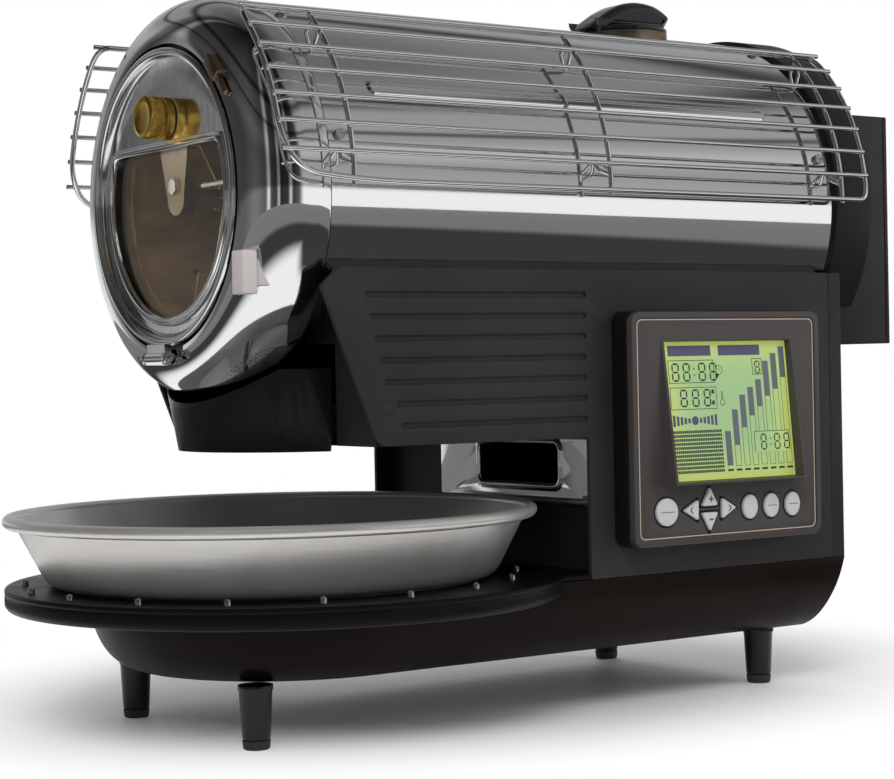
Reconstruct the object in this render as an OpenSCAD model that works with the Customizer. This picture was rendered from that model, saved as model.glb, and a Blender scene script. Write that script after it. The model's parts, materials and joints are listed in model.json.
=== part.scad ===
// Countertop drum roaster for coffee beans.
// +X runs along the drum axis to the rear, the control panel is on -Y, +Z is up.
// The origin is on the table under the middle of the machine. Sizes in millimetres.

/* [Base] */
// centre of the round deck along X
deck_x = -108.5; // [-130:0.5:-90]
// radius of the round deck
deck_r = 133.5; // [125:0.5:140]
// top of the deck above the table
deck_z = 68.8; // [60:0.2:80]
// height of the rolled band around the deck
deck_band = 10.2; // [6:0.2:14]
// thickness of the deck plate
deck_t = 3; // [2:0.5:5]
// underside of the base pan above the table
pan_z = 28.9; // [20:0.1:40]
// wall of the base pan
pan_t = 2; // [1.2:0.1:3]
// radius of the air opening in the deck
air_r = 60; // [40:1:75]
// number of support studs on the deck
stud_count = 18; // [6:1:30]
// radius of the ring of studs
stud_ring_r = 117.5; // [114:0.5:124]

/* [Feet] */
// X of the front feet
foot_front_x = -160.8; // [-175:0.5:-120]
// half spacing of the front feet
foot_front_y = 58.7; // [40:0.1:66]
// X of the rear feet
foot_rear_x = 139.7; // [100:0.5:148]
// half spacing of the rear feet
foot_rear_y = 62.9; // [40:0.1:66]
// foot radius at the floor
foot_r0 = 6.3; // [5:0.1:9]
// foot radius at the pan
foot_r1 = 7.8; // [6:0.1:10]
// height of the rubber tip
foot_tip = 4.5; // [2:0.5:8]

/* [Body] */
// half width over the side skins
body_w = 94.1; // [88:0.1:98]
// top edge of the side skins
body_top = 213.3; // [208:0.1:218]
// bottom edge of the side skins
body_bot = 65.8; // [60:0.1:68]
// underside of the overhang over the tray
over_z = 133.5; // [128:0.5:138]
// front edge of the column
column_x = 4; // [-4:0.5:10]
// rear edge of the side skins
skin_rear = 164.1; // [158:0.1:168]
// rear face of the rear panel
panel_rear = 172.8; // [170:0.1:178]
// thickness of a side skin
skin_t = 2.5; // [1.5:0.1:3.5]
// height of the top groove in the near skin
groove_z = 201.4; // [196:0.1:206]
// step between two grooves
groove_step = 9.8; // [8:0.1:10]
// number of grooves
groove_n = 7; // [3:1:7]
// width of a groove
groove_w = 2.2; // [1:0.1:4]
// depth of a groove
groove_d = 1.2; // [0.4:0.1:2]
// sheet thickness of the chassis
sheet = 1.5; // [1:0.1:2]
// gap between the column wall and the front edge of the skins
recess = 9.5; // [6:0.5:20]

/* [Drum axis] */
// height of the drum axis
axis_z = 249.5; // [246:0.1:256]
// outer radius of the chrome shroud
shroud_r = 93.4; // [90:0.1:95]
// sheet of the shroud
shroud_t = 0.8; // [0.5:0.1:1.5]
// front end of the shroud
shroud_x0 = -137; // [-142:0.5:-130]
// rear end of the shroud
shroud_x1 = 170.2; // [165:0.1:171]
// lower cut of the shroud
shroud_cut = 206; // [203:0.5:210]
// length of the pressed bars in the shroud
bar_len = 243; // [120:1:260]
// radius of the chamber around the drum
chamber_r = 76; // [72:0.5:80]
// outer radius of the drum
drum_r = 64; // [56:0.5:68]
// front end of the drum
drum_x0 = -158; // [-160:0.5:-120]
// rear end of the drum
drum_x1 = 70; // [40:0.5:72]
// wall of the drum
drum_t = 0.8; // [0.6:0.1:1.5]
// radius of the drum shaft
shaft_r = 5; // [4:0.1:7]
// running clearance of every spindle in its bore
run = 0.05; // [0.02:0.01:0.1]
// bulkhead behind the drum
bulk_x = 76; // [74:0.5:84]

/* [Hood and door] */
// radius of the mouth of the hood
mouth_r = 71; // [68:0.1:72]
// front edge of the hood
hood_x = -171.5; // [-176:0.1:-168]
// outer radius of the hood
hood_r = 93.9; // [92:0.1:96]
// start of the straight band of the hood
hood_band = -148.3; // [-152:0.1:-142]
// outer radius of the door rim
door_r = 69.5; // [64:0.1:70.5]
// radius of the rolled edge of the door
door_bead = 2; // [1:0.1:3]
// face of the door plate
door_x = -168; // [-170:0.1:-166.5]
// thickness of the door plate
door_t = 1.2; // [0.8:0.1:2]
// radius of the window
win_r = 57; // [50:0.5:59]
// flat top of the window above the axis
win_top = 24; // [15:0.5:30]
// half width of the bead around the window
win_bead = 2.2; // [1:0.1:3]
// hinge pin distance below the axis
hinge_r = 74.7; // [73:0.1:76]
// hinge pin position along X
hinge_x = -175.4; // [-178:0.1:-175]
// knob radius
knob_r = 9.8; // [8:0.1:14]
// knob length
knob_len = 13; // [8:0.5:16]
// knob height above the axis
knob_z = 36.9; // [34:0.5:44]

/* [Cooling tray] */
// centre of the tray along X
tray_x = -116; // [-119:0.5:-110]
// outer radius of the rolled rim
tray_r = 127; // [110:0.5:127.5]
// height of the tray
tray_h = 34; // [24:0.5:40]
// sheet of the tray
tray_t = 1; // [0.6:0.1:1.5]
// radius of the rim bead
tray_bead = 2.9; // [1.5:0.1:4]
// rings of air holes
hole_rings = 4; // [2:1:5]
// radius of an air hole
hole_r = 2; // [1:0.1:2.5]
// radius of the stirring spindle
stir_r = 5; // [4:0.1:6]
// radius of the hub of the stirrer
hub_r = 8; // [6.5:0.1:12]

/* [Controls] */
// left edge of the control box
ctrl_x0 = 18.2; // [16:0.1:24]
// right edge of the control box
ctrl_x1 = 142; // [140:0.1:150]
// lower edge of the control box
ctrl_z0 = 80; // [74:0.1:82]
// upper edge of the control box
ctrl_z1 = 193.4; // [190:0.1:197]
// depth of the control box
ctrl_d = 11.4; // [8:0.1:13]
// thickness of the front bezel
bezel_t = 3; // [2:0.1:4]
// left edge of the display
lcd_x0 = 38.9; // [34:0.1:44]
// right edge of the display
lcd_x1 = 121.8; // [118:0.1:134]
// lower edge of the display
lcd_z0 = 110.8; // [110:0.1:114]
// upper edge of the display
lcd_z1 = 178.8; // [170:0.1:182]
// wall of the surround at the sides of the display
lcd_rim = 1.5; // [1:0.1:3]
// how far the surround stands proud of the bezel below the display
lcd_proud = 9.5; // [5:0.1:11]
// how far the lower edge of the display stands in front of the bezel
lcd_lean = 3.2; // [1:0.1:4.5]
// how far a button stands proud of the bezel
btn_proud = 1.5; // [1.2:0.1:3]
// travel of a button
btn_travel = 1.2; // [0.5:0.1:1.4]

/* [Guards] */
// radius of the guard wires about the drum axis
guard_r = 107; // [101:0.5:112]
// wire radius
wire_r = 1.15; // [0.8:0.05:1.5]
// front frame of a guard
guard_x0 = -168.5; // [-172:0.5:-160]
// rear frame of a guard
guard_x1 = 180.5; // [172:0.5:190]
// lowest wire angle
guard_a0 = 0.5; // [0:0.1:3]
// highest wire angle
guard_a1 = 48; // [30:0.5:52]
// number of wires
guard_n = 8; // [4:1:10]

/* [Chute] */
// X of the bean chute
chute_x = 106; // [100:0.5:112]
// bore radius of the chute
chute_r = 19; // [15:0.5:20]
// wall of the chute
chute_t = 1.2; // [0.8:0.1:2]

/* [Rear] */
// radius of the rear cap
cap_r = 95.5; // [94.5:0.1:98]
// rear face of the rear cap
cap_x1 = 195.5; // [188:0.5:200]
// flat underside of the rear cap
cap_z0 = 196; // [190:0.5:205]
// rear face of the filter box
box_x1 = 240; // [230:0.5:240]
// half width of the filter box
box_w = 62.6; // [50:0.1:70]
// underside of the filter box
box_z0 = 176.5; // [170:0.5:190]
// top of the filter box
box_z1 = 301; // [290:0.5:310]
// thickness of the filter cover
cover_t = 2.7; // [2:0.1:4]

/* [Chaff tray] */
// half width of the chaff tray
chaff_w = 58; // [40:0.5:60]
// radius of the scoop at its foot
scoop_r = 62; // [60:0.5:68]
// length of the tray behind the scoop
chaff_len = 190; // [100:1:200]
// sheet of the chaff tray
chaff_t = 1.2; // [0.8:0.1:2]

/* [Drive] */
// gear module
gear_m = 2; // [1.5:0.5:2.5]
// teeth on the drum gear
gear_n = 40; // [30:1:44]
// teeth on the motor pinion
pinion_n = 15; // [12:1:18]
// width of the gears
gear_w = 6; // [4:0.5:8]
// X of the drum gear
gear_x = 96; // [86:0.5:100]
// direction of the motor from the drum axis
motor_a = 33; // [25:1:45]
// radius of the drum motor
motor_r = 23; // [15:0.5:26]

/* [Hidden] */
$fn = 96;
nodes_gap = 0.3;
inner_w = body_w - skin_t;
wall_x = column_x + recess;
pan_in = body_w - pan_t;
mesh_d = gear_m * (gear_n + pinion_n) / 2;
motor_y = mesh_d * sin(motor_a);
motor_z = axis_z - mesh_d * cos(motor_a);
ctrl_y = body_w + ctrl_d;
face_y = ctrl_y + bezel_t;
tray_z = deck_z + 0.2;
rim_z = tray_z + tray_h - tray_bead;
clear_r = hood_r + 1.7;
fan_x = 75;
pan_rear = panel_rear - 13.3;
lip_x = deck_x - 8.2;
tip_r = foot_r0 + (foot_r1 - foot_r0) * foot_tip / pan_z;
intake_r = 46;
slot_step = 9;
slot_w = 4.4;
bar_a = 29;

// ---- helpers ----
// local Z becomes +X on the drum axis, local X points down, local Y stays
module along_x(x) translate([x, 0, axis_z]) rotate([0, 90, 0]) children();
module disc_x(x0, x1, r) along_x(x0) cylinder(h = x1 - x0, r = r);
module tube_x(x0, x1, ro, ri) difference() {
  disc_x(x0, x1, ro);
  disc_x(x0 - 1, x1 + 1, ri);
}
// revolved profile of [radius, x] points about the drum axis
module rev_x(pts) along_x(0) rotate_extrude() polygon(pts);
// plate in the XZ plane between two Y values
module plate_y(y0, y1) translate([0, y1, 0]) rotate([90, 0, 0]) linear_extrude(y1 - y0) children();
// profile in the YZ plane between two X values
module plate_x(x0, x1) translate([x0, 0, 0]) rotate([90, 0, 90]) linear_extrude(x1 - x0) children();
module rrect(x0, y0, x1, y1, r) {
  translate([x0 + r, y0]) square([x1 - x0 - 2 * r, y1 - y0]);
  translate([x0, y0 + r]) square([x1 - x0, y1 - y0 - 2 * r]);
  for (x = [x0 + r, x1 - r]) for (y = [y0 + r, y1 - r]) translate([x, y]) circle(r = r, $fn = 48);
}
module box(a, b) translate(a) cube(b - a);
module both_sides() {
  children();
  mirror([0, 1, 0]) children();
}
// straight round wire between two points
module rod(a, b, r) {
  d = b - a;
  l = norm(d);
  translate(a) rotate([0, acos(d[2] / l), atan2(d[1], d[0])]) cylinder(h = l, r = r, $fn = 24);
}
function ring_pt(x, r, a, s) = [x, -s * r * cos(a), axis_z + r * sin(a)];

// ---- base ----
// half section of the bowl, taken in by t for its hollow
function pan_profile(t) = let (top = body_bot + (t > 0 ? 1 : 0)) [
  [0, pan_z + t], [73 - t, pan_z + t], [79 - t, pan_z + 2 + t], [84.5 - t, pan_z + 6 + t],
  [89 - t, pan_z + 12 + t * 0.6], [92.4 - t, pan_z + 20], [body_w - t, pan_z + 28],
  [body_w - t, top], [0, top]];
module pan_body(t) {
  translate([deck_x, 0, 0]) rotate_extrude() polygon(pan_profile(t));
  intersection() {
    plate_x(deck_x, panel_rear + 1) {
      polygon(pan_profile(t));
      mirror([1, 0]) polygon(pan_profile(t));
    }
    plate_y(-100, 100) polygon([[deck_x - 1, 0], [pan_rear - t, 0], [pan_rear - t, pan_z],
      [panel_rear - t, body_bot], [panel_rear - t, 100], [deck_x - 1, 100]]);
  }
}
module base_pan() color([0.05, 0.045, 0.042]) difference() {
  pan_body(0);
  pan_body(pan_t);
  // intake slots under the cooling fan
  for (i = [-4:4]) let (x = fan_x + i * slot_step, half = sqrt(pow(intake_r, 2) - pow(i * slot_step, 2)) - 4)
    box([x - slot_w / 2, -half, pan_z - 1], [x + slot_w / 2, half, pan_z + pan_t + 2]);
}
module base_deck() color([0.03, 0.03, 0.032]) difference() {
  union() {
    translate([deck_x, 0, deck_z - deck_band]) cylinder(h = deck_band, r = deck_r);
    box([deck_x, -body_w, deck_z - deck_t], [column_x - nodes_gap, body_w, deck_z]);
    box([0, -inner_w + nodes_gap, deck_z - deck_t], [wall_x, inner_w - nodes_gap, deck_z]);
  }
  translate([deck_x, 0, 0]) cylinder(h = deck_z - deck_t, r = deck_r - 2.5);
  box([deck_x + 40, -body_w - 0.4, 0], [deck_x + 200, body_w + 0.4, deck_z - deck_t]);
  box([wall_x, -deck_r, 0], [wall_x + 50, deck_r, 100]);
  box([column_x - nodes_gap, inner_w - nodes_gap, 0], [wall_x + 5, deck_r, 100]);
  box([column_x - nodes_gap, -deck_r, 0], [wall_x + 5, -inner_w + nodes_gap, 100]);
  translate([tray_x, 0, 40]) difference() {
    cylinder(h = 60, r = air_r);
    cylinder(h = 60, r = 16);
    for (a = [0, 90]) rotate([0, 0, a + 45]) translate([-air_r, -5, 0]) cube([2 * air_r, 10, 60]);
  }
  translate([tray_x, 0, 40]) cylinder(h = 60, r = stir_r + run);
}
module deck_studs() color([0.82, 0.82, 0.8])
  for (i = [0:stud_count - 1]) let (a = i * 360 / stud_count + 10)
    translate([tray_x + stud_ring_r * cos(a), stud_ring_r * sin(a), deck_z])
      cylinder(h = 3, r = 1.5, $fn = 24);
module at_feet() {
  for (s = [-1, 1]) {
    translate([foot_front_x, s * foot_front_y, 0]) children();
    translate([foot_rear_x, s * foot_rear_y, 0]) children();
  }
}
module foot_stems() color([0.02, 0.02, 0.02]) at_feet() difference() {
  translate([0, 0, foot_tip]) cylinder(h = pan_z - foot_tip, r1 = tip_r, r2 = foot_r1, $fn = 48);
  translate([0, 0, foot_tip - 1]) cylinder(h = 7, r = 3, $fn = 32);
}
module foot_pads() color([0.04, 0.04, 0.04]) at_feet() {
  cylinder(h = foot_tip, r1 = foot_r0 - 0.5, r2 = foot_r0 + 0.2, $fn = 48);
  translate([0, 0, foot_tip]) cylinder(h = 4.5, r = 2.9, $fn = 32);
}

// ---- body ----
module skin_profile() polygon([[shroud_x0 + 2.5, body_top], [shroud_x0 - 6.7, body_top - 8],
  [lip_x, over_z + 2], [deck_x - 4.5, over_z], [column_x, over_z], [column_x, body_bot],
  [skin_rear, body_bot], [skin_rear, body_top]]);
// front end of a groove at the height z
function groove_left(z) = lip_x + 12 + (z - over_z) * (shroud_x0 + 0.8 - lip_x) / (body_top - over_z);
module skin() {
  difference() {
    plate_y(-body_w, -inner_w) skin_profile();
    for (i = [0:groove_n - 1]) let (z = groove_z - i * groove_step, x0 = groove_left(z) + (i > 4 ? 4 : 0))
      plate_y(-body_w - 1, -body_w + groove_d)
        rrect(x0, z - groove_w / 2, column_x - 0.6, z + groove_w / 2, groove_w / 2 - 0.05);
    translate([deck_x - 1.5, -body_w + 0.6, over_z + 17.6]) rotate([90, 0, 0]) difference() {
      cylinder(h = 2, r = 3.8, $fn = 48);
      cylinder(h = 3, r = 3.1, $fn = 48);
    }
  }
  box([shroud_x0 + 2.5, -inner_w, body_top - 2], [skin_rear, -86.4, body_top]);
}
module side_skin_near() color([0.035, 0.035, 0.038]) skin();
module side_skin_far() color([0.035, 0.035, 0.038]) mirror([0, 1, 0]) skin();
module chassis() color([0.12, 0.12, 0.125]) {
  w = inner_w;
  difference() {
    box([wall_x, -w, body_bot + 0.3], [skin_rear - 0.1, w, body_bot + 0.3 + sheet]);
    translate([fan_x, 0, 40]) cylinder(h = 50, r = 48);
  }
  // column wall behind the bright plate, open behind its window
  difference() {
    box([wall_x, -w, body_bot + 0.3], [wall_x + sheet, w, over_z]);
    box([wall_x - 1, -59, 110], [wall_x + 3, 7, 130]);
  }
  box([deck_x - 6, -w, over_z], [wall_x + sheet, w, over_z + sheet]);
  box([deck_x - 6, chaff_w + 2.5, over_z], [skin_rear - 2, chaff_w + 2.5 + sheet, over_z + 16]);
  box([deck_x - 6, -chaff_w - 2.5 - sheet, over_z], [skin_rear - 2, -chaff_w - 2.5, over_z + 16]);
  box([wall_x, -w, over_z], [skin_rear - 2, -chaff_w - 2.5, over_z + sheet]);
  box([wall_x, chaff_w + 2.5, over_z], [skin_rear - 2, w, over_z + sheet]);
  // rear wall
  difference() {
    box([skin_rear - 1.6, -w, body_bot + 0.3], [skin_rear - 0.1, w, shroud_cut - 2]);
    box([skin_rear - 3, 37.6, 88.5], [skin_rear + 1, 66.4, 111.5]);
  }
  // rails that carry the shroud
  both_sides() difference() {
    box([deck_x - 5.9, 81.9, shroud_cut - 6], [skin_rear - 0.1, w, shroud_cut]);
    box([deck_x - 9, 83.2, shroud_cut - 7], [skin_rear - 2, w - 1.5, shroud_cut - 1.5]);
  }
  // fan bridge with its stub
  box([fan_x - 5, -50, body_bot - 7], [fan_x + 5, 50, body_bot - 5]);
  both_sides() box([fan_x - 5, 48.5, body_bot - 7], [fan_x + 5, 50, body_bot + 1]);
  translate([fan_x, 0, pan_z + 6]) cylinder(h = body_bot - 7 - pan_z - 4, r = 3, $fn = 32);
}
module front_fascia() color([0.03, 0.03, 0.032]) difference() {
  box([deck_x - 8, -inner_w, over_z], [deck_x - 6, inner_w, shroud_cut - 2]);
  disc_x(deck_x - 20, deck_x, chamber_r + 0.3);
  box([deck_x - 20, -chaff_w - 2.2, over_z - 1], [deck_x, chaff_w + 2.2, 180]);
}
module rear_panel() color([0.04, 0.04, 0.043]) difference() {
  box([skin_rear, -body_w, body_bot], [panel_rear, body_w, body_top]);
  box([skin_rear - 1, -body_w + 3, body_bot + 3], [panel_rear - 2.5, body_w - 3, body_top - 3]);
  difference() {
    disc_x(skin_rear - 5, panel_rear + 5, cap_r + 0.4);
    box([skin_rear - 9, -120, 100], [panel_rear + 9, 120, cap_z0 - 0.4]);
  }
  box([panel_rear - 5, 37.8, 88.8], [panel_rear + 1, 66.2, 111.2]);
  for (i = [0:6]) box([panel_rear - 5, -60, 130 + i * 7], [panel_rear + 1, 60, 133 + i * 7]);
}
module power_inlet() color([0.02, 0.02, 0.02]) {
  difference() {
    union() {
      box([panel_rear - 14, 38, 89], [panel_rear, 66, 111]);
      box([panel_rear, 33, 86], [panel_rear + 2, 71, 114]);
    }
    box([panel_rear - 12, 40.5, 91], [panel_rear + 3, 63.5, 109]);
  }
  for (p = [[47, 98], [52, 102], [57, 98]])
    box([panel_rear - 12.5, p[0] - 1, p[1] - 2], [panel_rear - 2, p[0] + 1, p[1] + 2]);
}
module column_plate() color([0.8, 0.8, 0.82]) {
  plate_x(wall_x - 1, wall_x) difference() {
    translate([0, 0]) rrect(-87, 99.5, 42, over_z - 0.3, 1.2);
    rrect(-59, 109.5, 7, 129.5, 3);
  }
  // turned lip around the window
  plate_x(wall_x - 2.2, wall_x - 1) difference() {
    rrect(-61.5, 107, 9.5, 132, 4);
    rrect(-59, 109.5, 7, 129.5, 3);
  }
}

// ---- controls ----
module control_box() color([0.015, 0.015, 0.017]) difference() {
  plate_y(-ctrl_y, -body_w) rrect(ctrl_x0, ctrl_z0, ctrl_x1, ctrl_z1, 6);
  plate_y(-ctrl_y - 1, -body_w - 1.5) rrect(ctrl_x0 + 2, ctrl_z0 + 2, ctrl_x1 - 2, ctrl_z1 - 2, 4);
}
// place of each button and its kind: 0 round, 1 to 4 an arrow, 5 upright with round ends
BTN = [[38.6, 96.7, 0], [54.6, 96.8, 1], [65.9, 102.2, 2], [65.9, 91.4, 3], [77.6, 96.8, 4],
  [92.5, 96.6, 5], [106.9, 96.6, 5], [121.3, 96.6, 5]];
// outline of a button, grown by c
module btn_shape(i, c) translate([BTN[i][0], BTN[i][1]]) {
  k = BTN[i][2];
  if (k == 0) circle(r = 6.8 + c, $fn = 64);
  if (k == 5) {
    translate([0, 1.2]) circle(r = 4.9 + c, $fn = 64);
    translate([0, -1.2]) circle(r = 4.9 + c, $fn = 64);
    translate([-4.9 - c, -1.2]) square([9.8 + 2 * c, 2.4]);
  }
  if (k > 0 && k < 5) rotate(k == 1 ? 180 : k == 2 ? 90 : k == 3 ? -90 : 0)
    polygon([[5.2 + 2 * c, 0.9], [-3 - c, 5 + 1.7 * c], [-3.9 - c, 4.2 + c], [-3.9 - c, -4.2 - c],
      [-3 - c, -5 - 1.7 * c], [5.2 + 2 * c, -0.9]]);
}
// wedge around the display: flush with the face above, proud of it below
module display_surround() plate_x(lcd_x0 - lcd_rim, lcd_x1 + lcd_rim)
  polygon([[-ctrl_y - 0.5, lcd_z1 + 3.7], [-face_y + 0.3, lcd_z1 + 3.7], [-face_y - lcd_proud, lcd_z0 - 1],
    [-face_y, lcd_z0 - 2.2], [-ctrl_y - 0.5, lcd_z0 - 2.2]]);
module bezel() color([0.07, 0.06, 0.055]) difference() {
  union() {
    plate_y(-face_y, -ctrl_y) rrect(ctrl_x0 + 0.4, ctrl_z0 + 0.4, ctrl_x1 - 0.4, ctrl_z1 - 0.4, 6);
    display_surround();
  }
  plate_y(-face_y - lcd_proud - 1, -ctrl_y + 1) rrect(lcd_x0, lcd_z0, lcd_x1, lcd_z1, 0.6);
  for (i = [0:7]) plate_y(-face_y - 1, -ctrl_y + 1) btn_shape(i, 0.35);
  // shallow line around the face
  difference() {
    plate_y(-face_y - 1, -face_y + 0.3)
      rrect(ctrl_x0 + 4, ctrl_z0 + 4, ctrl_x1 - 4, ctrl_z1 - 4, 4);
    plate_y(-face_y - 2, -face_y + 1)
      rrect(ctrl_x0 + 4.6, ctrl_z0 + 4.6, ctrl_x1 - 4.6, ctrl_z1 - 4.6, 3.4);
  }
}
// display leaning back in its surround, and the flange behind the bezel
module lcd_module() color([0.5, 0.72, 0.2]) {
  plate_x(lcd_x0 + nodes_gap, lcd_x1 - nodes_gap) polygon([[-ctrl_y + nodes_gap, lcd_z1 - nodes_gap],
    [-face_y - lcd_lean, lcd_z0 + nodes_gap], [-ctrl_y + 2, lcd_z0 + nodes_gap],
    [-ctrl_y + 2, lcd_z1 - nodes_gap]]);
  box([lcd_x0 - 3, -ctrl_y + nodes_gap, lcd_z0 + 0.5], [lcd_x1 + 3, -ctrl_y + 3, lcd_z1 + 3]);
}
module control_board() color([0.04, 0.22, 0.1]) {
  box([ctrl_x0 + 6, -body_w - 4, ctrl_z0 + 6], [ctrl_x1 - 6, -body_w - 2.4, ctrl_z1 - 6]);
  for (x = [ctrl_x0 + 10, ctrl_x1 - 10]) for (z = [ctrl_z0 + 10, ctrl_z1 - 10])
    translate([x, -body_w - 1.5, z]) rotate([90, 0, 0]) cylinder(h = 1, r = 3, $fn = 32);
  box([lcd_x0 + 5, -body_w - 8.2, lcd_z0 + 20], [lcd_x0 + 15, -body_w - 4, lcd_z0 + 40]);
}
// cap through the bezel and a flange behind it
module button(i) color([0.62, 0.62, 0.6]) {
  plate_y(-face_y - btn_proud, -ctrl_y + 0.3) btn_shape(i, 0);
  plate_y(-ctrl_y + 0.3, -ctrl_y + 1.3) btn_shape(i, 0.7);
}
module btn_power() button(0);
module btn_left() button(1);
module btn_up() button(2);
module btn_down() button(3);
module btn_right() button(4);
module btn_enter() button(5);
module btn_back() button(6);
module btn_set() button(7);

// ---- drum housing ----
module drum_shroud() color([0.82, 0.82, 0.84]) {
  difference() {
    tube_x(shroud_x0, shroud_x1, shroud_r, shroud_r - shroud_t);
    box([shroud_x0 - 1, -100, 100], [shroud_x1 + 1, 100, shroud_cut]);
    translate([chute_x, 0, axis_z + 40]) cylinder(h = 80, r = chute_r + chute_t + 0.3);
  }
  // pressed bars with round ends
  for (s = [-1, 1]) difference() {
    translate([11 - bar_len / 2, 0, axis_z]) rotate([s * (90 - bar_a), 0, 0])
    translate([0, -4.5, shroud_r - 0.9]) {
      translate([4.5, 4.5, 0]) cylinder(h = 1.6, r = 4.5, $fn = 48);
      translate([bar_len - 4.5, 4.5, 0]) cylinder(h = 1.6, r = 4.5, $fn = 48);
      translate([4.5, 0, 0]) cube([bar_len - 9, 9, 1.6]);
    }
    disc_x(shroud_x0, shroud_x1, shroud_r - 0.3);
  }
}
module body_screws() color([0.7, 0.7, 0.72]) {
  for (s = [-1, 1]) for (x = [shroud_x0 + 6, shroud_x1 - 9]) for (a = [13.8, 62])
    translate(ring_pt(x, shroud_r, a, s)) rotate([s * (90 - a), 0, 0]) difference() {
      cylinder(h = 1.6, r = 2.6, $fn = 32);
      translate([-2, -0.4, 1]) cube([4, 0.8, 2]);
    }
  // bolt of the front bearing
  along_x(-166) translate([-5.4, 0, 0]) cylinder(h = 2.1, r = 4, $fn = 6);
}
// quarter ellipse of the hood, taken in by t
function hood_pts(t) = [for (i = [0:14]) let (a = i * 90 / 14)
  [mouth_r + (hood_r - mouth_r - t) * sin(a), hood_band - (hood_band - hood_x - t) * cos(a)]];
module hood_solid(g) rev_x(concat([[0, hood_x - g]], [for (p = hood_pts(0)) [p[0] + g, p[1] - g]],
  [[hood_r + g, shroud_x0], [0, shroud_x0]]));
module front_hood() color([0.85, 0.85, 0.87]) rev_x(concat(hood_pts(0),
  [[hood_r, shroud_x0 - nodes_gap], [hood_r - 1, shroud_x0 - nodes_gap]],
  [for (i = [14:-1:0]) hood_pts(1)[i]]));
module drum_chamber() color([0.45, 0.43, 0.4]) difference() {
  union() {
    tube_x(-165, bulk_x, chamber_r, chamber_r - 1);
    tube_x(-165.4, -164.2, 82.6, 62);
  }
  box([drum_x0 + 30, -30, 100], [drum_x1 - 20, 30, 190]);
}
module chamber_bulkhead() color([0.4, 0.4, 0.4]) difference() {
  union() {
    disc_x(bulk_x, bulk_x + 1.5, shroud_r - shroud_t - 0.2);
    disc_x(bulk_x, bulk_x + 8, 12);
  }
  disc_x(bulk_x - 5, bulk_x + 12, shaft_r + run);
  chute_bore(chute_r - 4 + chute_t + 0.2);
}
// two hairpins under the drum, on both sides of the chaff opening
module heating_element() color([0.35, 0.33, 0.32]) for (s = [-1, 1]) {
  for (a = [36, 56]) along_x(-148) rotate([0, 0, s * a]) translate([70, 0, 0])
    cylinder(h = bulk_x + 148 - 0.1, r = 2.8, $fn = 32);
  rod([-146, s * 70 * sin(36), axis_z - 70 * cos(36)],
    [-146, s * 70 * sin(56), axis_z - 70 * cos(56)], 2.3);
}
module front_bearing_bracket() color([0.6, 0.58, 0.55]) difference() {
  union() {
    plate_x(-163.9, -162.7) translate([0, axis_z]) polygon([[-17, 62], [-16, 40], [-7, -3], [-3, -7.6],
      [3, -7.6], [7, -3], [20, 40], [21, 62]]);
    plate_x(-163.9, -162.7) rrect(-20, axis_z + 60, 24, axis_z + 66, 2);
    disc_x(-163.9, -156.5, 8);
  }
  disc_x(-162.4, -150, shaft_r + run);
}
module temperature_probe() color([0.7, 0.7, 0.7]) {
  translate([-162.5, -60.8, axis_z + 4]) rotate([-90, 0, 0]) cylinder(h = 36, r = 1.6, $fn = 32);
  translate([-162.5, -60.8, axis_z + 4]) rotate([-90, 0, 0]) cylinder(h = 5.5, r = 3.6, $fn = 6);
  box([-164.15, -68, axis_z + 1], [-161, -60, axis_z + 7]);
}
module latch_block() color([0.78, 0.76, 0.74]) difference() {
  union() {
    box([-176, -80, axis_z - 48], [-158, -70.5, axis_z - 28]);
    box([-173, -84, axis_z - 44], [-158, -80, axis_z - 32]);
  }
  hood_solid(0.02);
  disc_x(-190, -160, mouth_r);
}
module door_clip() color([0.45, 0.36, 0.25]) difference() {
  along_x(-174.5) rotate([0, 0, 180 + 46]) translate([mouth_r + 1, -11, 0]) cube([10, 22, 14]);
  hood_solid(0.02);
  difference() {
    disc_x(-190, -173.3, 120);
  }
  along_x(-180) rotate([0, 0, 180 + 46]) translate([mouth_r + 4.5, -20, 0]) cube([30, 13, 8.8]);
}
module hinge_bracket() color([0.75, 0.75, 0.77]) {
  for (s = [-1, 1]) {
    translate([hinge_x, s > 0 ? 9 : -17, axis_z - hinge_r]) rotate([-90, 0, 0])
      cylinder(h = 8, r = 3, $fn = 40);
    difference() {
      box([hinge_x, s > 0 ? 9 : -17, axis_z - hinge_r - 3],
        [hood_x + 3, s > 0 ? 17 : -9, axis_z - hinge_r + 1]);
      hood_solid(0.02);
      translate([hinge_x, -30, axis_z - hinge_r]) rotate([-90, 0, 0]) cylinder(h = 60, r = 2.9, $fn = 40);
    }
  }
  translate([hinge_x, -18.5, axis_z - hinge_r]) rotate([-90, 0, 0]) cylinder(h = 37, r = 1.5, $fn = 32);
}

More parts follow.
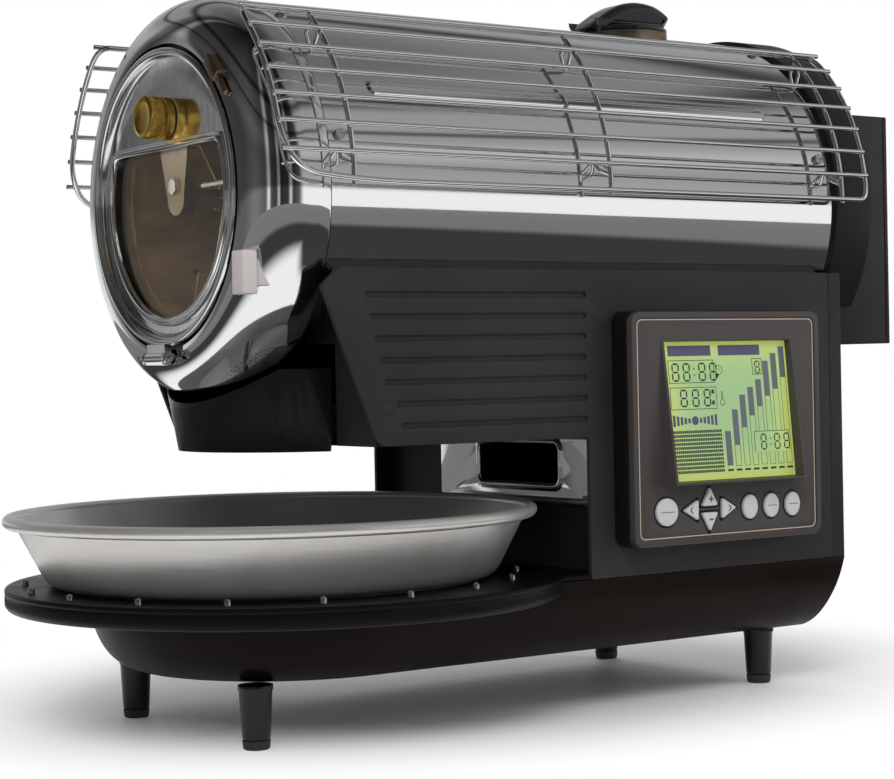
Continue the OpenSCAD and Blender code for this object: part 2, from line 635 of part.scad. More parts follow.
// ---- door ----
// window outline on local axes: local X points down, local Y is Y
module d_shape(g) intersection() {
  circle(r = win_r + g);
  translate([-win_top - g, -80]) square([160, 160]);
}
module front_door() color([0.86, 0.86, 0.88]) {
  difference() {
    disc_x(door_x, door_x + door_t, door_r - 2 * door_bead + 0.6);
    along_x(door_x - 5) linear_extrude(12) d_shape(0.5);
    along_x(door_x - 5) translate([-knob_z, 0, 0]) cylinder(h = 12, r = 2.6, $fn = 32);
  }
  // skirt and rolled edge
  skirt_r = door_r - 2 * door_bead;
  rev_x([[skirt_r - 0.6, door_x + door_t], [skirt_r - 0.6, hood_x + 0.2],
    [skirt_r + 0.6, hood_x + 0.2], [skirt_r + 0.6, door_x + door_t]]);
  along_x(hood_x + 0.2) rotate_extrude() translate([door_r - door_bead, 0]) circle(r = door_bead, $fn = 32);
  // hinge leaf
  difference() {
    union() {
      translate([hinge_x, -8.7, axis_z - hinge_r]) rotate([-90, 0, 0]) cylinder(h = 17.4, r = 3, $fn = 40);
      box([hinge_x - 1, -8.7, axis_z - hinge_r + 1], [hinge_x + 2.6, 8.7, axis_z - door_r + 1.5]);
    }
    translate([hinge_x, -20, axis_z - hinge_r]) rotate([-90, 0, 0]) cylinder(h = 40, r = 1.5 + run, $fn = 32);
  }
}
module window_bead() color([0.84, 0.84, 0.86]) difference() {
  along_x(door_x - 2.8) linear_extrude(2.8) d_shape(0.5 + win_bead);
  along_x(door_x - 5) linear_extrude(12) d_shape(0.5 - win_bead);
}
module window_glass() color([0.5, 0.4, 0.2, 0.35]) along_x(door_x) linear_extrude(door_t) d_shape(0.3);
module door_knob() color([0.85, 0.6, 0.15]) along_x(door_x - knob_len) translate([-knob_z, 0, 0]) {
  difference() {
    cylinder(h = knob_len - 0.3, r = knob_r);
    for (i = [0:35]) rotate([0, 0, i * 10]) translate([knob_r, 0, -1])
      cylinder(h = knob_len - 2, r = 0.45, $fn = 4);
    difference() {
      translate([0, 0, 7.2]) cylinder(h = 1.1, r = knob_r + 2);
      translate([0, 0, 6]) cylinder(h = 4, r = knob_r - 0.9);
    }
    translate([0, 0, -1]) cylinder(h = 1.4, r = knob_r - 2.2);
  }
  cylinder(h = 3, r = knob_r - 2.5);
  cylinder(h = knob_len + door_t + 0.2, r = 2.6 - run, $fn = 32);
}

// ---- drum ----
module drum() color([0.5, 0.4, 0.26]) {
  difference() {
    tube_x(drum_x0, drum_x1, drum_r, drum_r - drum_t);
    for (k = [0:5]) along_x(drum_x0 + 34 + k * 32) for (i = [0:11])
      rotate([0, 0, i * 30 + (k % 2) * 15]) rotate([0, 90, 0]) translate([0, 0, drum_r - 4])
        cylinder(h = 8, r = 2.2, $fn = 24);
  }
  tube_x(drum_x0, drum_x0 + 1, drum_r - drum_t, drum_r - 7);
  difference() {
    disc_x(drum_x1 - 6, drum_x1 - 4.5, drum_r - drum_t);
    disc_x(drum_x1 - 8, drum_x1, shaft_r + run);
    along_x(drum_x1 - 8) for (i = [0:3]) rotate([0, 0, i * 90 + 45]) translate([38, 0, 0])
      cylinder(h = 8, r = 19);
  }
  tube_x(drum_x1 - 14, drum_x1 - 6, 10, shaft_r + run);
}
module drum_vanes() color([0.62, 0.52, 0.36]) for (i = [0:2])
along_x(drum_x0 + 12) rotate([0, 0, i * 120 + 20]) {
  translate([36, -0.6, 0]) cube([drum_r - drum_t - 36.2, 1.2, drum_x1 - drum_x0 - 30]);
  for (z = [8, 100, 190]) translate([shaft_r + 0.02, -0.6, z]) cube([32, 1.2, 7]);
}
module drum_shaft() color([0.6, 0.6, 0.62]) disc_x(-162.1, gear_x + gear_w + 8, shaft_r);
// tooth corners: place along the pitch, height over the pitch circle in modules
TOOTH = [[-0.30, -1.2], [-0.115, 0.8], [0.115, 0.8], [0.30, -1.2]];
function gear_pts(n) = let (rp = gear_m * n / 2, p = 360 / n) [for (i = [0:n - 1]) for (q = TOOTH)
  [(rp + q[1] * gear_m) * cos(p * (i + q[0])), (rp + q[1] * gear_m) * sin(p * (i + q[0]))]];
module drum_gear() color([0.72, 0.7, 0.62]) along_x(gear_x) difference() {
  union() {
    rotate([0, 0, motor_a]) linear_extrude(gear_w) polygon(gear_pts(gear_n));
    translate([0, 0, -4]) cylinder(h = gear_w + 8, r = 11);
  }
  translate([0, 0, -10]) cylinder(h = 40, r = shaft_r + run);
  for (i = [0:5]) rotate([0, 0, i * 60]) translate([23, 0, -1]) cylinder(h = gear_w + 2, r = 7.5);
}
module at_motor(x) translate([x, motor_y, motor_z]) rotate([0, 90, 0]) children();
module motor_pinion() color([0.75, 0.62, 0.3]) {
  at_motor(gear_x - 0.5) rotate([0, 0, motor_a + 180 + 180 / pinion_n])
    linear_extrude(gear_w + 1) polygon(gear_pts(pinion_n));
  at_motor(gear_x + gear_w) cylinder(h = 18, r = 4, $fn = 48);
}
module drive_motor() color([0.5, 0.5, 0.52]) difference() {
  union() {
    at_motor(gear_x + gear_w + 4)
      cylinder(h = skin_rear - 1.6 - gear_x - gear_w - 4, r = motor_r);
    at_motor(gear_x + gear_w + 2) cylinder(h = 6, r = 9);
  }
  at_motor(gear_x + gear_w) cylinder(h = 20, r = 4 + run, $fn = 48);
}

// ---- bean chute ----
module chute_bore(r) translate([chute_x, 0, axis_z + shroud_r - 9]) rotate([0, 215, 0]) cylinder(h = 64, r = r);
module bean_chute() color([0.55, 0.55, 0.56]) difference() {
  union() {
    translate([chute_x, 0, axis_z + shroud_r - 9]) cylinder(h = 10.4, r = chute_r + chute_t);
    difference() {
      translate([chute_x, 0, axis_z + shroud_r - 6]) cylinder(h = 7.4, r = chute_r + 6);
      disc_x(chute_x - 40, chute_x + 40, shroud_r + 0.02);
    }
    chute_bore(chute_r - 4 + chute_t);
    translate([chute_x, 0, axis_z + shroud_r - 9]) sphere(r = chute_r + chute_t);
  }
  translate([chute_x, 0, axis_z + shroud_r - 9]) cylinder(h = 30, r = chute_r);
  translate([chute_x, 0, axis_z + shroud_r - 9]) sphere(r = chute_r);
  chute_bore(chute_r - 4);
  box([0, -50, 200], [bulk_x - 5, 50, 400]);
  translate([chute_x, 0, axis_z + shroud_r + 1.4]) cylinder(h = 30, r = 50);
}
module chute_cover() color([0.02, 0.02, 0.022]) {
  zt = axis_z + shroud_r + 1.4;
  translate([chute_x, 0, zt + 0.3]) cylinder(h = 2.2, r = chute_r + 6);
  translate([chute_x, 0, zt - 5]) cylinder(h = 5.5, r = chute_r - 0.5);
  // fin of the handle, from the flange up
  plate_y(-11, 11) translate([chute_x, zt]) polygon([[-27.5, 1.5], [-24, 5], [-13.7, 11.8], [-5, 15.9],
    [3.8, 17.5], [11, 17.4], [17.9, 16.4], [28.4, 10.7], [22.4, 1.5]]);
}

// ---- rear ----
module rear_cap() color([0.03, 0.03, 0.032]) {
  difference() {
    disc_x(shroud_x1 + 0.3, cap_x1, cap_r);
    box([150, -120, 100], [250, 120, cap_z0]);
    // the hollow inside, then the openings to the drum and to the filter
    difference() {
      disc_x(shroud_x1 + 2.3, cap_x1 - 2, cap_r - 2);
      box([150, -120, 100], [250, 120, cap_z0 + 2]);
    }
    difference() {
      disc_x(shroud_x1 - 5, shroud_x1 + 5, shroud_r - 9.4);
      box([150, -120, 100], [250, 120, cap_z0 + 2]);
    }
    disc_x(cap_x1 - 5, cap_x1 + 5, 48);
  }
  // spider with the stub of the exhaust fan
  for (a = [0, 60, 120]) along_x(cap_x1 - 1.8) rotate([0, 0, a]) translate([-49, -3, 0]) cube([98, 6, 1.5]);
  disc_x(cap_x1 - 1.8, cap_x1 + 22, 3);
}
module filter_box() color([0.035, 0.035, 0.038]) difference() {
  box([cap_x1, -box_w, box_z0], [box_x1, box_w, box_z1]);
  box([cap_x1 + 2, -box_w + 2, box_z0 + 2], [box_x1 + 1, box_w - 2, box_z1 - 2]);
  disc_x(cap_x1 - 2, cap_x1 + 5, 48);
}
module rear_filter() color([0.75, 0.73, 0.68])
  box([box_x1 - 9, -box_w + 2.2, box_z0 + 2.2], [box_x1 - 3, box_w - 2.2, box_z1 - 2.2]);
module filter_cover() color([0.035, 0.035, 0.038]) difference() {
  box([box_x1 + 0.3, -box_w, box_z0], [box_x1 + 0.3 + cover_t, box_w, box_z1]);
  for (i = [0:11]) box([box_x1 - 1, -46, box_z0 + 16 + i * 8], [box_x1 + 5, 46, box_z0 + 20 + i * 8]);
}

// ---- guards ----
function wire_a(i) = guard_a0 + i * (guard_a1 - guard_a0) / (guard_n - 1);
// arc of wire under the straight wires from angle a0 to a1, on the side s
module arc(x, a0, a1, s, w) along_x(x) rotate([0, 0, s > 0 ? -90 - a1 : 90 + a0])
  rotate_extrude(angle = a1 - a0) translate([guard_r - wire_r - w - 0.02, 0]) circle(r = w, $fn = 24);
module guard(s) {
  for (i = [1:guard_n - 1])
    rod(ring_pt(guard_x0 - 0.6, guard_r, wire_a(i), s), ring_pt(guard_x1 + 0.6, guard_r, wire_a(i), s), wire_r);
  // the lowest wire bends up at both ends
  bend = [for (p = [[guard_x0, 8.5], [guard_x0 + 7, 3.6], [guard_x0 + 40, guard_a0],
    [guard_x1 - 3, guard_a0], [guard_x1, 2.8]]) ring_pt(p[0], guard_r, p[1], s)];
  for (i = [0:3]) rod(bend[i], bend[i + 1], wire_r);
  for (i = [1:3]) translate(bend[i]) sphere(r = wire_r * 1.2, $fn = 24);
  arc(guard_x0, 6.5, guard_a1 + 0.8, s, 1.4);
  arc(guard_x1, 2, guard_a1 + 0.8, s, 1.4);
  // stays and the hooks that stand on the shroud
  hook_w = 0.9;
  stay_w = 1.25;
  for (x = [guard_x0 + 36, 11.5, guard_x1 - 16]) {
    arc(x, guard_a0 - 1, guard_a1 + 2, s, stay_w);
    for (a = [7.6, 44.3])
      rod(ring_pt(x, guard_r - wire_r - 2 * stay_w - 0.33, a, s),
        ring_pt(x, shroud_r + 0.32, a - 2, s), hook_w);
  }
}
module guard_near() color([0.8, 0.8, 0.82]) guard(1);
module guard_far() color([0.8, 0.8, 0.82]) guard(-1);

// ---- cooling tray and stirrer ----
// section of the tray from the collar of the stirrer to the wall under the rim
function tray_section() = let (in_r = tray_r - 2 * tray_bead) [[hub_r + run, tray_z], [101, tray_z],
  [105.5, tray_z + 1.2], [108.5, tray_z + 4.5], [in_r + 0.8, rim_z], [in_r - 0.4, rim_z + 0.4],
  [107.4, tray_z + 5], [104.8, tray_z + 2.1], [101, tray_z + tray_t], [hub_r + 2.5, tray_z + tray_t],
  [hub_r + 2.5, tray_z + 5], [hub_r + run, tray_z + 5]];
module cooling_tray() color([0.72, 0.72, 0.72]) translate([tray_x, 0, 0]) difference() {
  union() {
    rotate_extrude() polygon(tray_section());
    translate([0, 0, rim_z]) rotate_extrude() translate([tray_r - tray_bead, 0])
      circle(r = tray_bead, $fn = 32);
  }
  for (k = [0:hole_rings - 1]) for (i = [0:11 + 6 * k])
    rotate([0, 0, i * 360 / (12 + 6 * k) + 7 * k]) translate([22 + k * 11, 0, tray_z - 1])
      cylinder(h = 4, r = hole_r, $fn = 24);
}
// hub that turns in the collar of the tray, with two arms and their paddles
module stir_arm() color([0.7, 0.7, 0.7]) translate([tray_x, 0, tray_z]) {
  translate([0, 0, nodes_gap]) cylinder(h = 17, r = hub_r);
  translate([0, 0, 17 + nodes_gap]) cylinder(h = 3, r1 = hub_r, r2 = 5);
  for (a = [0, 180]) rotate([0, 0, a + 35]) {
    translate([0, -4, 12]) cube([98, 8, 2.4]);
    translate([34, -2, 2.2]) rotate([0, 0, 12]) cube([62, 1.6, 11]);
  }
}
// drive that ends under the loose tray
module stir_spindle() color([0.55, 0.55, 0.57]) translate([tray_x, 0, body_bot - 18])
  cylinder(h = tray_z - nodes_gap - body_bot + 18, r = stir_r, $fn = 48);
module stir_motor() color([0.45, 0.45, 0.47]) translate([tray_x, 0, 0]) difference() {
  union() {
    translate([0, 0, body_bot - 24]) cylinder(h = 20, r = 24);
    translate([0, 0, body_bot - 5]) cylinder(h = 5, r = 13);
  }
  translate([0, 0, body_bot - 18.5]) cylinder(h = 30, r = stir_r + run);
}
// n flat blades from r0 to r1, within the height h
module blades(n, r0, r1, h, t, tilt) let (chord = 0.8 * h / cos(tilt)) for (i = [0:n - 1])
  rotate([0, 0, i * 360 / n]) translate([r0, 0, h / 2]) rotate([tilt, 0, 0])
    translate([0, -t / 2, -chord / 2]) cube([r1 - r0, t, chord]);
module cooling_fan() color([0.08, 0.08, 0.085]) translate([fan_x, 0, pan_z + 9]) difference() {
  union() {
    cylinder(h = 14, r = 16);
    blades(7, 14, 44, 13, 1.6, 52);
  }
  translate([0, 0, -1]) cylinder(h = 30, r = 3 + run, $fn = 32);
}
module exhaust_fan() color([0.08, 0.08, 0.085]) along_x(cap_x1 + 5) difference() {
  union() {
    cylinder(h = 14, r = 14);
    blades(7, 12, 42, 13, 1.6, 52);
  }
  translate([0, 0, -1]) cylinder(h = 30, r = 3 + run, $fn = 32);
}

// ---- chaff tray ----
module chaff_solid(t) {
  xr = deck_x + 13 + chaff_len;
  intersection() {
    translate([deck_x + 13, 0, 131 + t]) cylinder(h = 42, r1 = scoop_r - t, r2 = scoop_r + 7.2 - t);
    box([deck_x - 70, -chaff_w - 1 + t, 131 + t], [deck_x - 9.5 - t, chaff_w + 1 - t, 169]);
  }
  box([deck_x - 12, -chaff_w + t, over_z + sheet + 0.4 + t], [xr - t, chaff_w - t, 153 + (t > 0 ? 20 : 0)]);
}
module chaff_tray() color([0.03, 0.03, 0.03]) difference() {
  chaff_solid(0);
  chaff_solid(chaff_t);
  disc_x(-300, 300, clear_r);
}

base_pan();
base_deck();
deck_studs();
foot_stems();
foot_pads();
chassis();
front_fascia();
side_skin_near();
side_skin_far();
rear_panel();
power_inlet();
column_plate();
control_box();
bezel();
lcd_module();
control_board();
drum_shroud();
body_screws();
front_hood();
drum_chamber();
chamber_bulkhead();
heating_element();
front_bearing_bracket();
temperature_probe();
latch_block();
door_clip();
hinge_bracket();
bean_chute();
drive_motor();
rear_cap();
filter_box();
rear_filter();
guard_near();
guard_far();
stir_motor();
front_door();
window_bead();
window_glass();
door_knob();
drum();
drum_vanes();
drum_shaft();
drum_gear();
motor_pinion();
cooling_tray();
stir_arm();
stir_spindle();
cooling_fan();
exhaust_fan();
chaff_tray();
chute_cover();
filter_cover();
btn_power();
btn_left();
btn_up();
btn_down();
btn_right();
btn_enter();
btn_back();
btn_set();
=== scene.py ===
"""Looks of a countertop drum roaster for coffee beans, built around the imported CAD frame.

Each piece is a surface worked out with numpy in millimetres, in the frame of the CAD part: +X runs along
the drum to the rear, the control panel is on -Y and +Z is up. The studio around it is in metres.
"""
import json
import math

import bmesh
import bpy
import numpy as np
from mathutils import Matrix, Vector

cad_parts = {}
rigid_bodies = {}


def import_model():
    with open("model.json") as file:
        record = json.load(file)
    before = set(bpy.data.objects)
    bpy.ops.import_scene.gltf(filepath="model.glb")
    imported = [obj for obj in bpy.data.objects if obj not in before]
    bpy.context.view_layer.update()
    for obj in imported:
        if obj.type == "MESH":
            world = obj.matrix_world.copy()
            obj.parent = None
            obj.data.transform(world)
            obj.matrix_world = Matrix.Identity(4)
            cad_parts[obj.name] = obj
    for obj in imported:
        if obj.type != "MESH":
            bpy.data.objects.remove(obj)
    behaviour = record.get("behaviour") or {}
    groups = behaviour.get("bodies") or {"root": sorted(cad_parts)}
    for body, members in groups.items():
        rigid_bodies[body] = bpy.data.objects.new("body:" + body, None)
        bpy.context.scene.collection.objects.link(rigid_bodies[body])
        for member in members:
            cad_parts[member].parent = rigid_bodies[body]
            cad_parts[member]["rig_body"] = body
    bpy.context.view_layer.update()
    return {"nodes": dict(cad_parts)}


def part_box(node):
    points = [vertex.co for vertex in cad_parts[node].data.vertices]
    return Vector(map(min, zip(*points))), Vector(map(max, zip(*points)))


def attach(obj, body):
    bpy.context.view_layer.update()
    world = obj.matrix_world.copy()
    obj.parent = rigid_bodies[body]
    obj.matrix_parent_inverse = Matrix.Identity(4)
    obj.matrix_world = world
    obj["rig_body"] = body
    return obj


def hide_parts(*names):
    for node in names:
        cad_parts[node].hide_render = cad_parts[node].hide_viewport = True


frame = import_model()
NODES = frame["nodes"]
MM = 0.001


def low(node):
    """Lowest corner of a CAD node in millimetres."""
    return np.array(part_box(node)[0]) / MM


def high(node):
    """Highest corner of a CAD node in millimetres."""
    return np.array(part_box(node)[1]) / MM


# ---- driving sizes in millimetres, most of them read from the frame ----
AXIS_Z = (low("drum_shaft")[2] + high("drum_shaft")[2]) / 2
SHROUD_R = 93.4
SHROUD_X0, SHROUD_X1 = low("drum_shroud")[0], high("drum_shroud")[0]
SHROUD_CUT = low("drum_shroud")[2]
HOOD_X, HOOD_R = low("front_hood")[0], high("front_hood")[1]
DOOR_X, DOOR_R, DOOR_BEAD, DOOR_PLATE = -168.0, 69.5, 2.0, 1.2
HINGE_X, HINGE_Z, KNUCKLE_R = -175.4, AXIS_Z - 74.7, 3.0
DECK_TOP, DECK_R = 68.8, high("base_deck")[1]
DECK_X = low("base_deck")[0] + DECK_R
PAN_Z, PAN_TOP, PAN_REAR = low("base_pan")[2], 65.8, high("base_pan")[0]
BODY_W = high("side_skin_far")[1]
BODY_BOT, BODY_TOP = low("side_skin_near")[2], high("side_skin_near")[2]
SKIN_X1 = high("side_skin_near")[0]
TRAY_R = (high("cooling_tray")[0] - low("cooling_tray")[0]) / 2
TRAY_X = low("cooling_tray")[0] + TRAY_R
TRAY_Z, TRAY_TOP = low("cooling_tray")[2], high("cooling_tray")[2]
CHUTE_X = 106.0
FLIP_Y = (1, -1, 1)


# ---- surfaces: each is a pair of points and faces ----
def patch(points, wrap_rows=False, wrap_cols=False):
    """A grid of points, rows by columns by three, with quads that join end to end where it is wrapped."""
    rows, cols = points.shape[:2]
    i, j = np.meshgrid(np.arange(rows - (not wrap_rows)), np.arange(cols - (not wrap_cols)), indexing="ij")
    i2, j2 = (i + 1) % rows, (j + 1) % cols
    faces = np.stack([i * cols + j, i2 * cols + j, i2 * cols + j2, i * cols + j2], -1)
    return points.reshape(-1, 3), faces.reshape(-1, 4).tolist()


def moved(surface, origin, ex=(1, 0, 0), ey=(0, 1, 0), ez=(0, 0, 1)):
    """A surface with its local axes laid along ex, ey and ez from origin."""
    points, faces = surface
    return np.asarray(origin, float) + points @ np.array([ex, ey, ez], float), faces


def on_side(surface, y):
    """A surface drawn in X and Z at a given y, with its local height pointing out of the near side."""
    return moved(surface, (0, y, 0), (1, 0, 0), (0, 0, 1), (0, -1, 0))


def mirrored(surfaces):
    """The same surfaces on the other side of the machine."""
    return [(points * FLIP_Y, faces) for points, faces in surfaces]


def closed(line):
    """A line that ends where it starts."""
    return np.concatenate([line, line[:1]])


def eased(points, reach, steps=5, closed=False):
    """A line whose corners are parabolas that leave and rejoin its straight runs reach away."""
    points = np.asarray(points, float)
    reach = np.broadcast_to(np.asarray(reach, float), len(points))
    t = np.linspace(0, 1, steps + 1)[:, None]
    line = []
    for k, corner in enumerate(points):
        if not closed and k in (0, len(points) - 1) or reach[k] <= 0:
            line.append(corner[None])
            continue
        ends = []
        for other in (points[k - 1], points[(k + 1) % len(points)]):
            run = other - corner
            length = np.linalg.norm(run)
            ends.append(corner + run / length * min(reach[k], 0.49 * length))
        line.append((1 - t) ** 2 * ends[0] + 2 * t * (1 - t) * corner + t ** 2 * ends[1])
    return np.concatenate(line)


def full_turn(steps):
    """Angles once round, in radians."""
    return np.linspace(0, 2 * np.pi, steps, endpoint=False)


def ellipse(x, y, a, b, steps=48):
    """Points round an upright ellipse."""
    t = full_turn(steps)
    return np.stack([x + a * np.cos(t), y + b * np.sin(t)], -1)


def circle(x, y, radius, steps=48):
    """Points round a circle."""
    return ellipse(x, y, radius, radius, steps)


def rectangle(x0, y0, x1, y1):
    """The four corners of a rectangle."""
    return np.array([[x0, y0], [x1, y0], [x1, y1], [x0, y1]], float)


def rounded_box(x0, y0, x1, y1, reach):
    """Outline of a rectangle with eased corners."""
    return eased(rectangle(x0, y0, x1, y1), reach, closed=True)


def spun(points, degrees):
    """Flat points turned about their origin."""
    turn = math.radians(degrees)
    return points @ np.array([[math.cos(turn), math.sin(turn)], [-math.sin(turn), math.cos(turn)]])


def around_drum(radius, x, angle):
    """Point at a radius and an angle about the drum axis; angle 0 faces the near side and pi / 2 is up."""
    return np.stack(np.broadcast_arrays(x, -radius * np.cos(angle), AXIS_Z + radius * np.sin(angle)), -1)


def turned_z(profile, x=0, y=0, start=0, end=360, steps=128):
    """A profile of [radius, z] turned about an upright axis, between two angles in degrees."""
    profile = np.asarray(profile, float)
    full = end - start >= 360
    angle = np.radians(np.linspace(start, end, steps, endpoint=not full))[:, None]
    radius, z = profile[None, :, 0], profile[None, :, 1]
    points = np.stack(np.broadcast_arrays(x + radius * np.cos(angle), y + radius * np.sin(angle), z), -1)
    return patch(points, wrap_rows=full)


def turned_y(radius, x, z, y0, y1, steps=40, edge=0.3):
    """A round bar along Y with small chamfers."""
    profile = [[0, y0], [radius - edge, y0], [radius, y0 + edge], [radius, y1 - edge], [radius - edge, y1],
               [0, y1]]
    return moved(turned_z(profile, steps=steps), (x, 0, z), (1, 0, 0), (0, 0, 1), (0, 1, 0))


def box_surface(corner, opposite):
    """A plain block between two corners, as a closed surface."""
    c = np.array([corner, opposite], float)
    points = np.array([[c[i, 0], c[j, 1], c[k, 2]] for i in (0, 1) for j in (0, 1) for k in (0, 1)])
    return points, [[0, 1, 3, 2], [4, 6, 7, 5], [0, 4, 5, 1], [2, 3, 7, 6], [0, 2, 6, 4], [1, 5, 7, 3]]


def shell(outer, inner):
    """The closed wall between two grids of the same size."""
    wall = patch(np.concatenate([outer, inner[:, ::-1]], 1), wrap_cols=True)
    return [wall] + [patch(np.stack([outer[k], inner[k]])) for k in (0, -1)]


def wire(path, away, radius, closed=False, sides=10):
    """A circle carried along a path, in the plane of away and of the line square to away and to the path."""
    path = np.asarray(path, float)
    away = np.broadcast_to(np.asarray(away, float), path.shape)
    along = np.roll(path, -1, 0) - np.roll(path, 1, 0) if closed else np.gradient(path, axis=0)
    along /= np.linalg.norm(along, axis=1, keepdims=True)
    side = np.cross(along, away)
    side /= np.linalg.norm(side, axis=1, keepdims=True)
    out = np.cross(side, along)
    turn = full_turn(sides)[None, :, None]
    rings = path[:, None] + radius * (np.cos(turn) * out[:, None] + np.sin(turn) * side[:, None])
    if not closed:
        ends = [np.repeat(path[k][None, None], sides, 1) for k in (0, -1)]
        rings = np.concatenate([ends[0], rings, ends[1]])
    return patch(rings, wrap_rows=closed, wrap_cols=True)


def plate(outlines, thickness, rim=0.0, holes=(), segments=2):
    """Flat sheet inside closed outlines, less the holes, with its edges rounded by rim.

    It lies in local X and Y, from height 0 to its thickness.
    """
    curve = bpy.data.curves.new("flat", "CURVE")
    curve.dimensions = "2D"
    curve.fill_mode = "BOTH"
    curve.extrude = thickness / 2 - rim
    curve.bevel_depth = rim
    curve.bevel_resolution = segments
    curve.offset = -rim
    for outline, is_hole in [(o, False) for o in outlines] + [(h, True) for h in holes]:
        outline = np.asarray(outline, float)
        after = np.roll(outline, -1, 0)
        area = np.sum(outline[:, 0] * after[:, 1] - after[:, 0] * outline[:, 1])
        if (area > 0) == is_hole:
            outline = outline[::-1]
        spline = curve.splines.new("POLY")
        spline.points.add(len(outline) - 1)
        flat = np.c_[outline, np.zeros(len(outline)), np.ones(len(outline))]
        spline.points.foreach_set("co", flat.ravel())
        spline.use_cyclic_u = True
    holder = bpy.data.objects.new("flat", curve)
    mesh = bpy.data.meshes.new_from_object(holder)
    points = np.array([vertex.co for vertex in mesh.vertices]) + (0, 0, thickness / 2)
    faces = [list(face.vertices) for face in mesh.polygons]
    bpy.data.objects.remove(holder)
    bpy.data.curves.remove(curve)
    bpy.data.meshes.remove(mesh)
    return points, faces


# ---- objects ----
DOUBLE = 2e-6  # metres between points that count as one


def linked(name, data):
    """An object in the scene, at the origin."""
    obj = bpy.data.objects.new(name, data)
    bpy.context.scene.collection.objects.link(obj)
    return obj


def mesh_object(name, surfaces, unit=MM):
    """An object whose mesh joins several surfaces, given in millimetres or in the unit."""
    start, points, faces = 0, [], []
    for some_points, some_faces in surfaces:
        points.append(np.asarray(some_points, float))
        faces += [[k + start for k in face] for face in some_faces]
        start += len(some_points)
    data = bpy.data.meshes.new(name)
    data.from_pydata((np.concatenate(points) * unit).tolist(), [], faces)
    data.polygons.foreach_set("use_smooth", [True] * len(data.polygons))
    return linked(name, data)


def clean(data):
    """Merges doubles, drops faces without area and turns every closed shell outwards."""
    work = bmesh.new()
    work.from_mesh(data)
    bmesh.ops.remove_doubles(work, verts=work.verts, dist=DOUBLE)
    bmesh.ops.dissolve_degenerate(work, edges=work.edges, dist=1e-7)
    bmesh.ops.recalc_face_normals(work, faces=work.faces)
    work.to_mesh(data)
    work.free()


def modify(obj, kind, **settings):
    """Runs a modifier and makes its result the object's own mesh."""
    step = obj.modifiers.new(kind, kind)
    for key, value in settings.items():
        setattr(step, key, value)
    graph = bpy.context.evaluated_depsgraph_get()
    mesh = bpy.data.meshes.new_from_object(obj.evaluated_get(graph))
    obj.modifiers.clear()
    obj.data = mesh


def cut(obj, surface):
    """Takes a closed surface's inside away from an object."""
    cutter = mesh_object("cutter", [surface])
    clean(cutter.data)
    modify(obj, "BOOLEAN", object=cutter, operation="DIFFERENCE", solver="EXACT")
    bpy.data.objects.remove(cutter)


def soften(obj, width):
    """Rounds the sharp edges of a hard shape by width millimetres."""
    modify(obj, "BEVEL", width=width * MM, segments=3, limit_method="ANGLE", angle_limit=math.radians(40))


def finish_piece(obj, look, node, crease, stands_for=True):
    """Gives a piece its material, smooth faces and a CAD node's body; it may stand for the node."""
    obj.data.materials.clear()
    obj.data.materials.append(look)
    obj.data.polygons.foreach_set("use_smooth", [True] * len(obj.data.polygons))
    obj.data.set_sharp_from_angle(angle=math.radians(crease))
    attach(obj, NODES[node]["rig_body"])
    if stands_for:
        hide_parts(node)


def piece(name, surfaces, look, node, crease=35, wall=0.0, cutters=(), bevel=0.0, stands_for=True):
    """One mesh of several surfaces; a skin may be given a wall, openings are cut and edges rounded last."""
    obj = mesh_object(name, surfaces)
    clean(obj.data)
    if wall:
        modify(obj, "SOLIDIFY", thickness=wall * MM, offset=-1)
    for cutter in cutters:
        cut(obj, cutter)
    if bevel:
        soften(obj, bevel)
    finish_piece(obj, look, node, crease, stands_for)


def softened(node, look, width):
    """A copy of a CAD node with its edges rounded, which stands for the node."""
    data = NODES[node].data.copy()
    work = bmesh.new()
    work.from_mesh(data)
    bmesh.ops.remove_doubles(work, verts=work.verts, dist=DOUBLE)
    bmesh.ops.dissolve_limit(work, angle_limit=math.radians(0.5), verts=work.verts, edges=work.edges)
    work.to_mesh(data)
    work.free()
    obj = linked(node + "_soft", data)
    soften(obj, width)
    finish_piece(obj, look, node, 50)


# ---- shader nodes ----
def fill(tree, node, **values):
    """Sets a node's properties and inputs by name; an input takes a plain value or another node's output."""
    for key, value in values.items():
        if hasattr(node, key):
            setattr(node, key, value)
        elif isinstance(value, bpy.types.NodeSocket):
            tree.links.new(value, node.inputs[key.replace("_", " ")])
        else:
            node.inputs[key.replace("_", " ")].default_value = value
    return node


def add(tree, kind, *sources, **values):
    """A node's first output; sources fill its inputs in order, and values go in by name."""
    node = fill(tree, tree.nodes.new("ShaderNode" + kind), **values)
    for socket, source in zip(node.inputs, sources):
        if isinstance(source, bpy.types.NodeSocket):
            tree.links.new(source, socket)
        else:
            socket.default_value = source
    return node.outputs[0]


def maths(tree, operation, *sources):
    """One arithmetic step on sockets or numbers."""
    return add(tree, "Math", *sources, operation=operation)


def spread(tree, value, start, end, first=0.0, last=1.0):
    """A value brought from the range start to end to the range first to last, and held there."""
    return add(tree, "MapRange", Value=value, From_Min=start, From_Max=end, To_Min=first, To_Max=last)


def mixed(tree, share, first, second):
    """A colour between two others."""
    mix = tree.nodes.new("ShaderNodeMix")
    mix.data_type = "RGBA"
    mix.inputs[6].default_value = (*first, 1)
    mix.inputs[7].default_value = (*second, 1)
    tree.links.new(share, mix.inputs[0])
    return mix.outputs[2]


def object_place(tree):
    """The place on the object, in metres."""
    return tree.nodes.new("ShaderNodeTexCoord").outputs["Object"]


def axes(tree, place):
    """The x, y and z of a place."""
    return add(tree, "SeparateXYZ", place).node.outputs


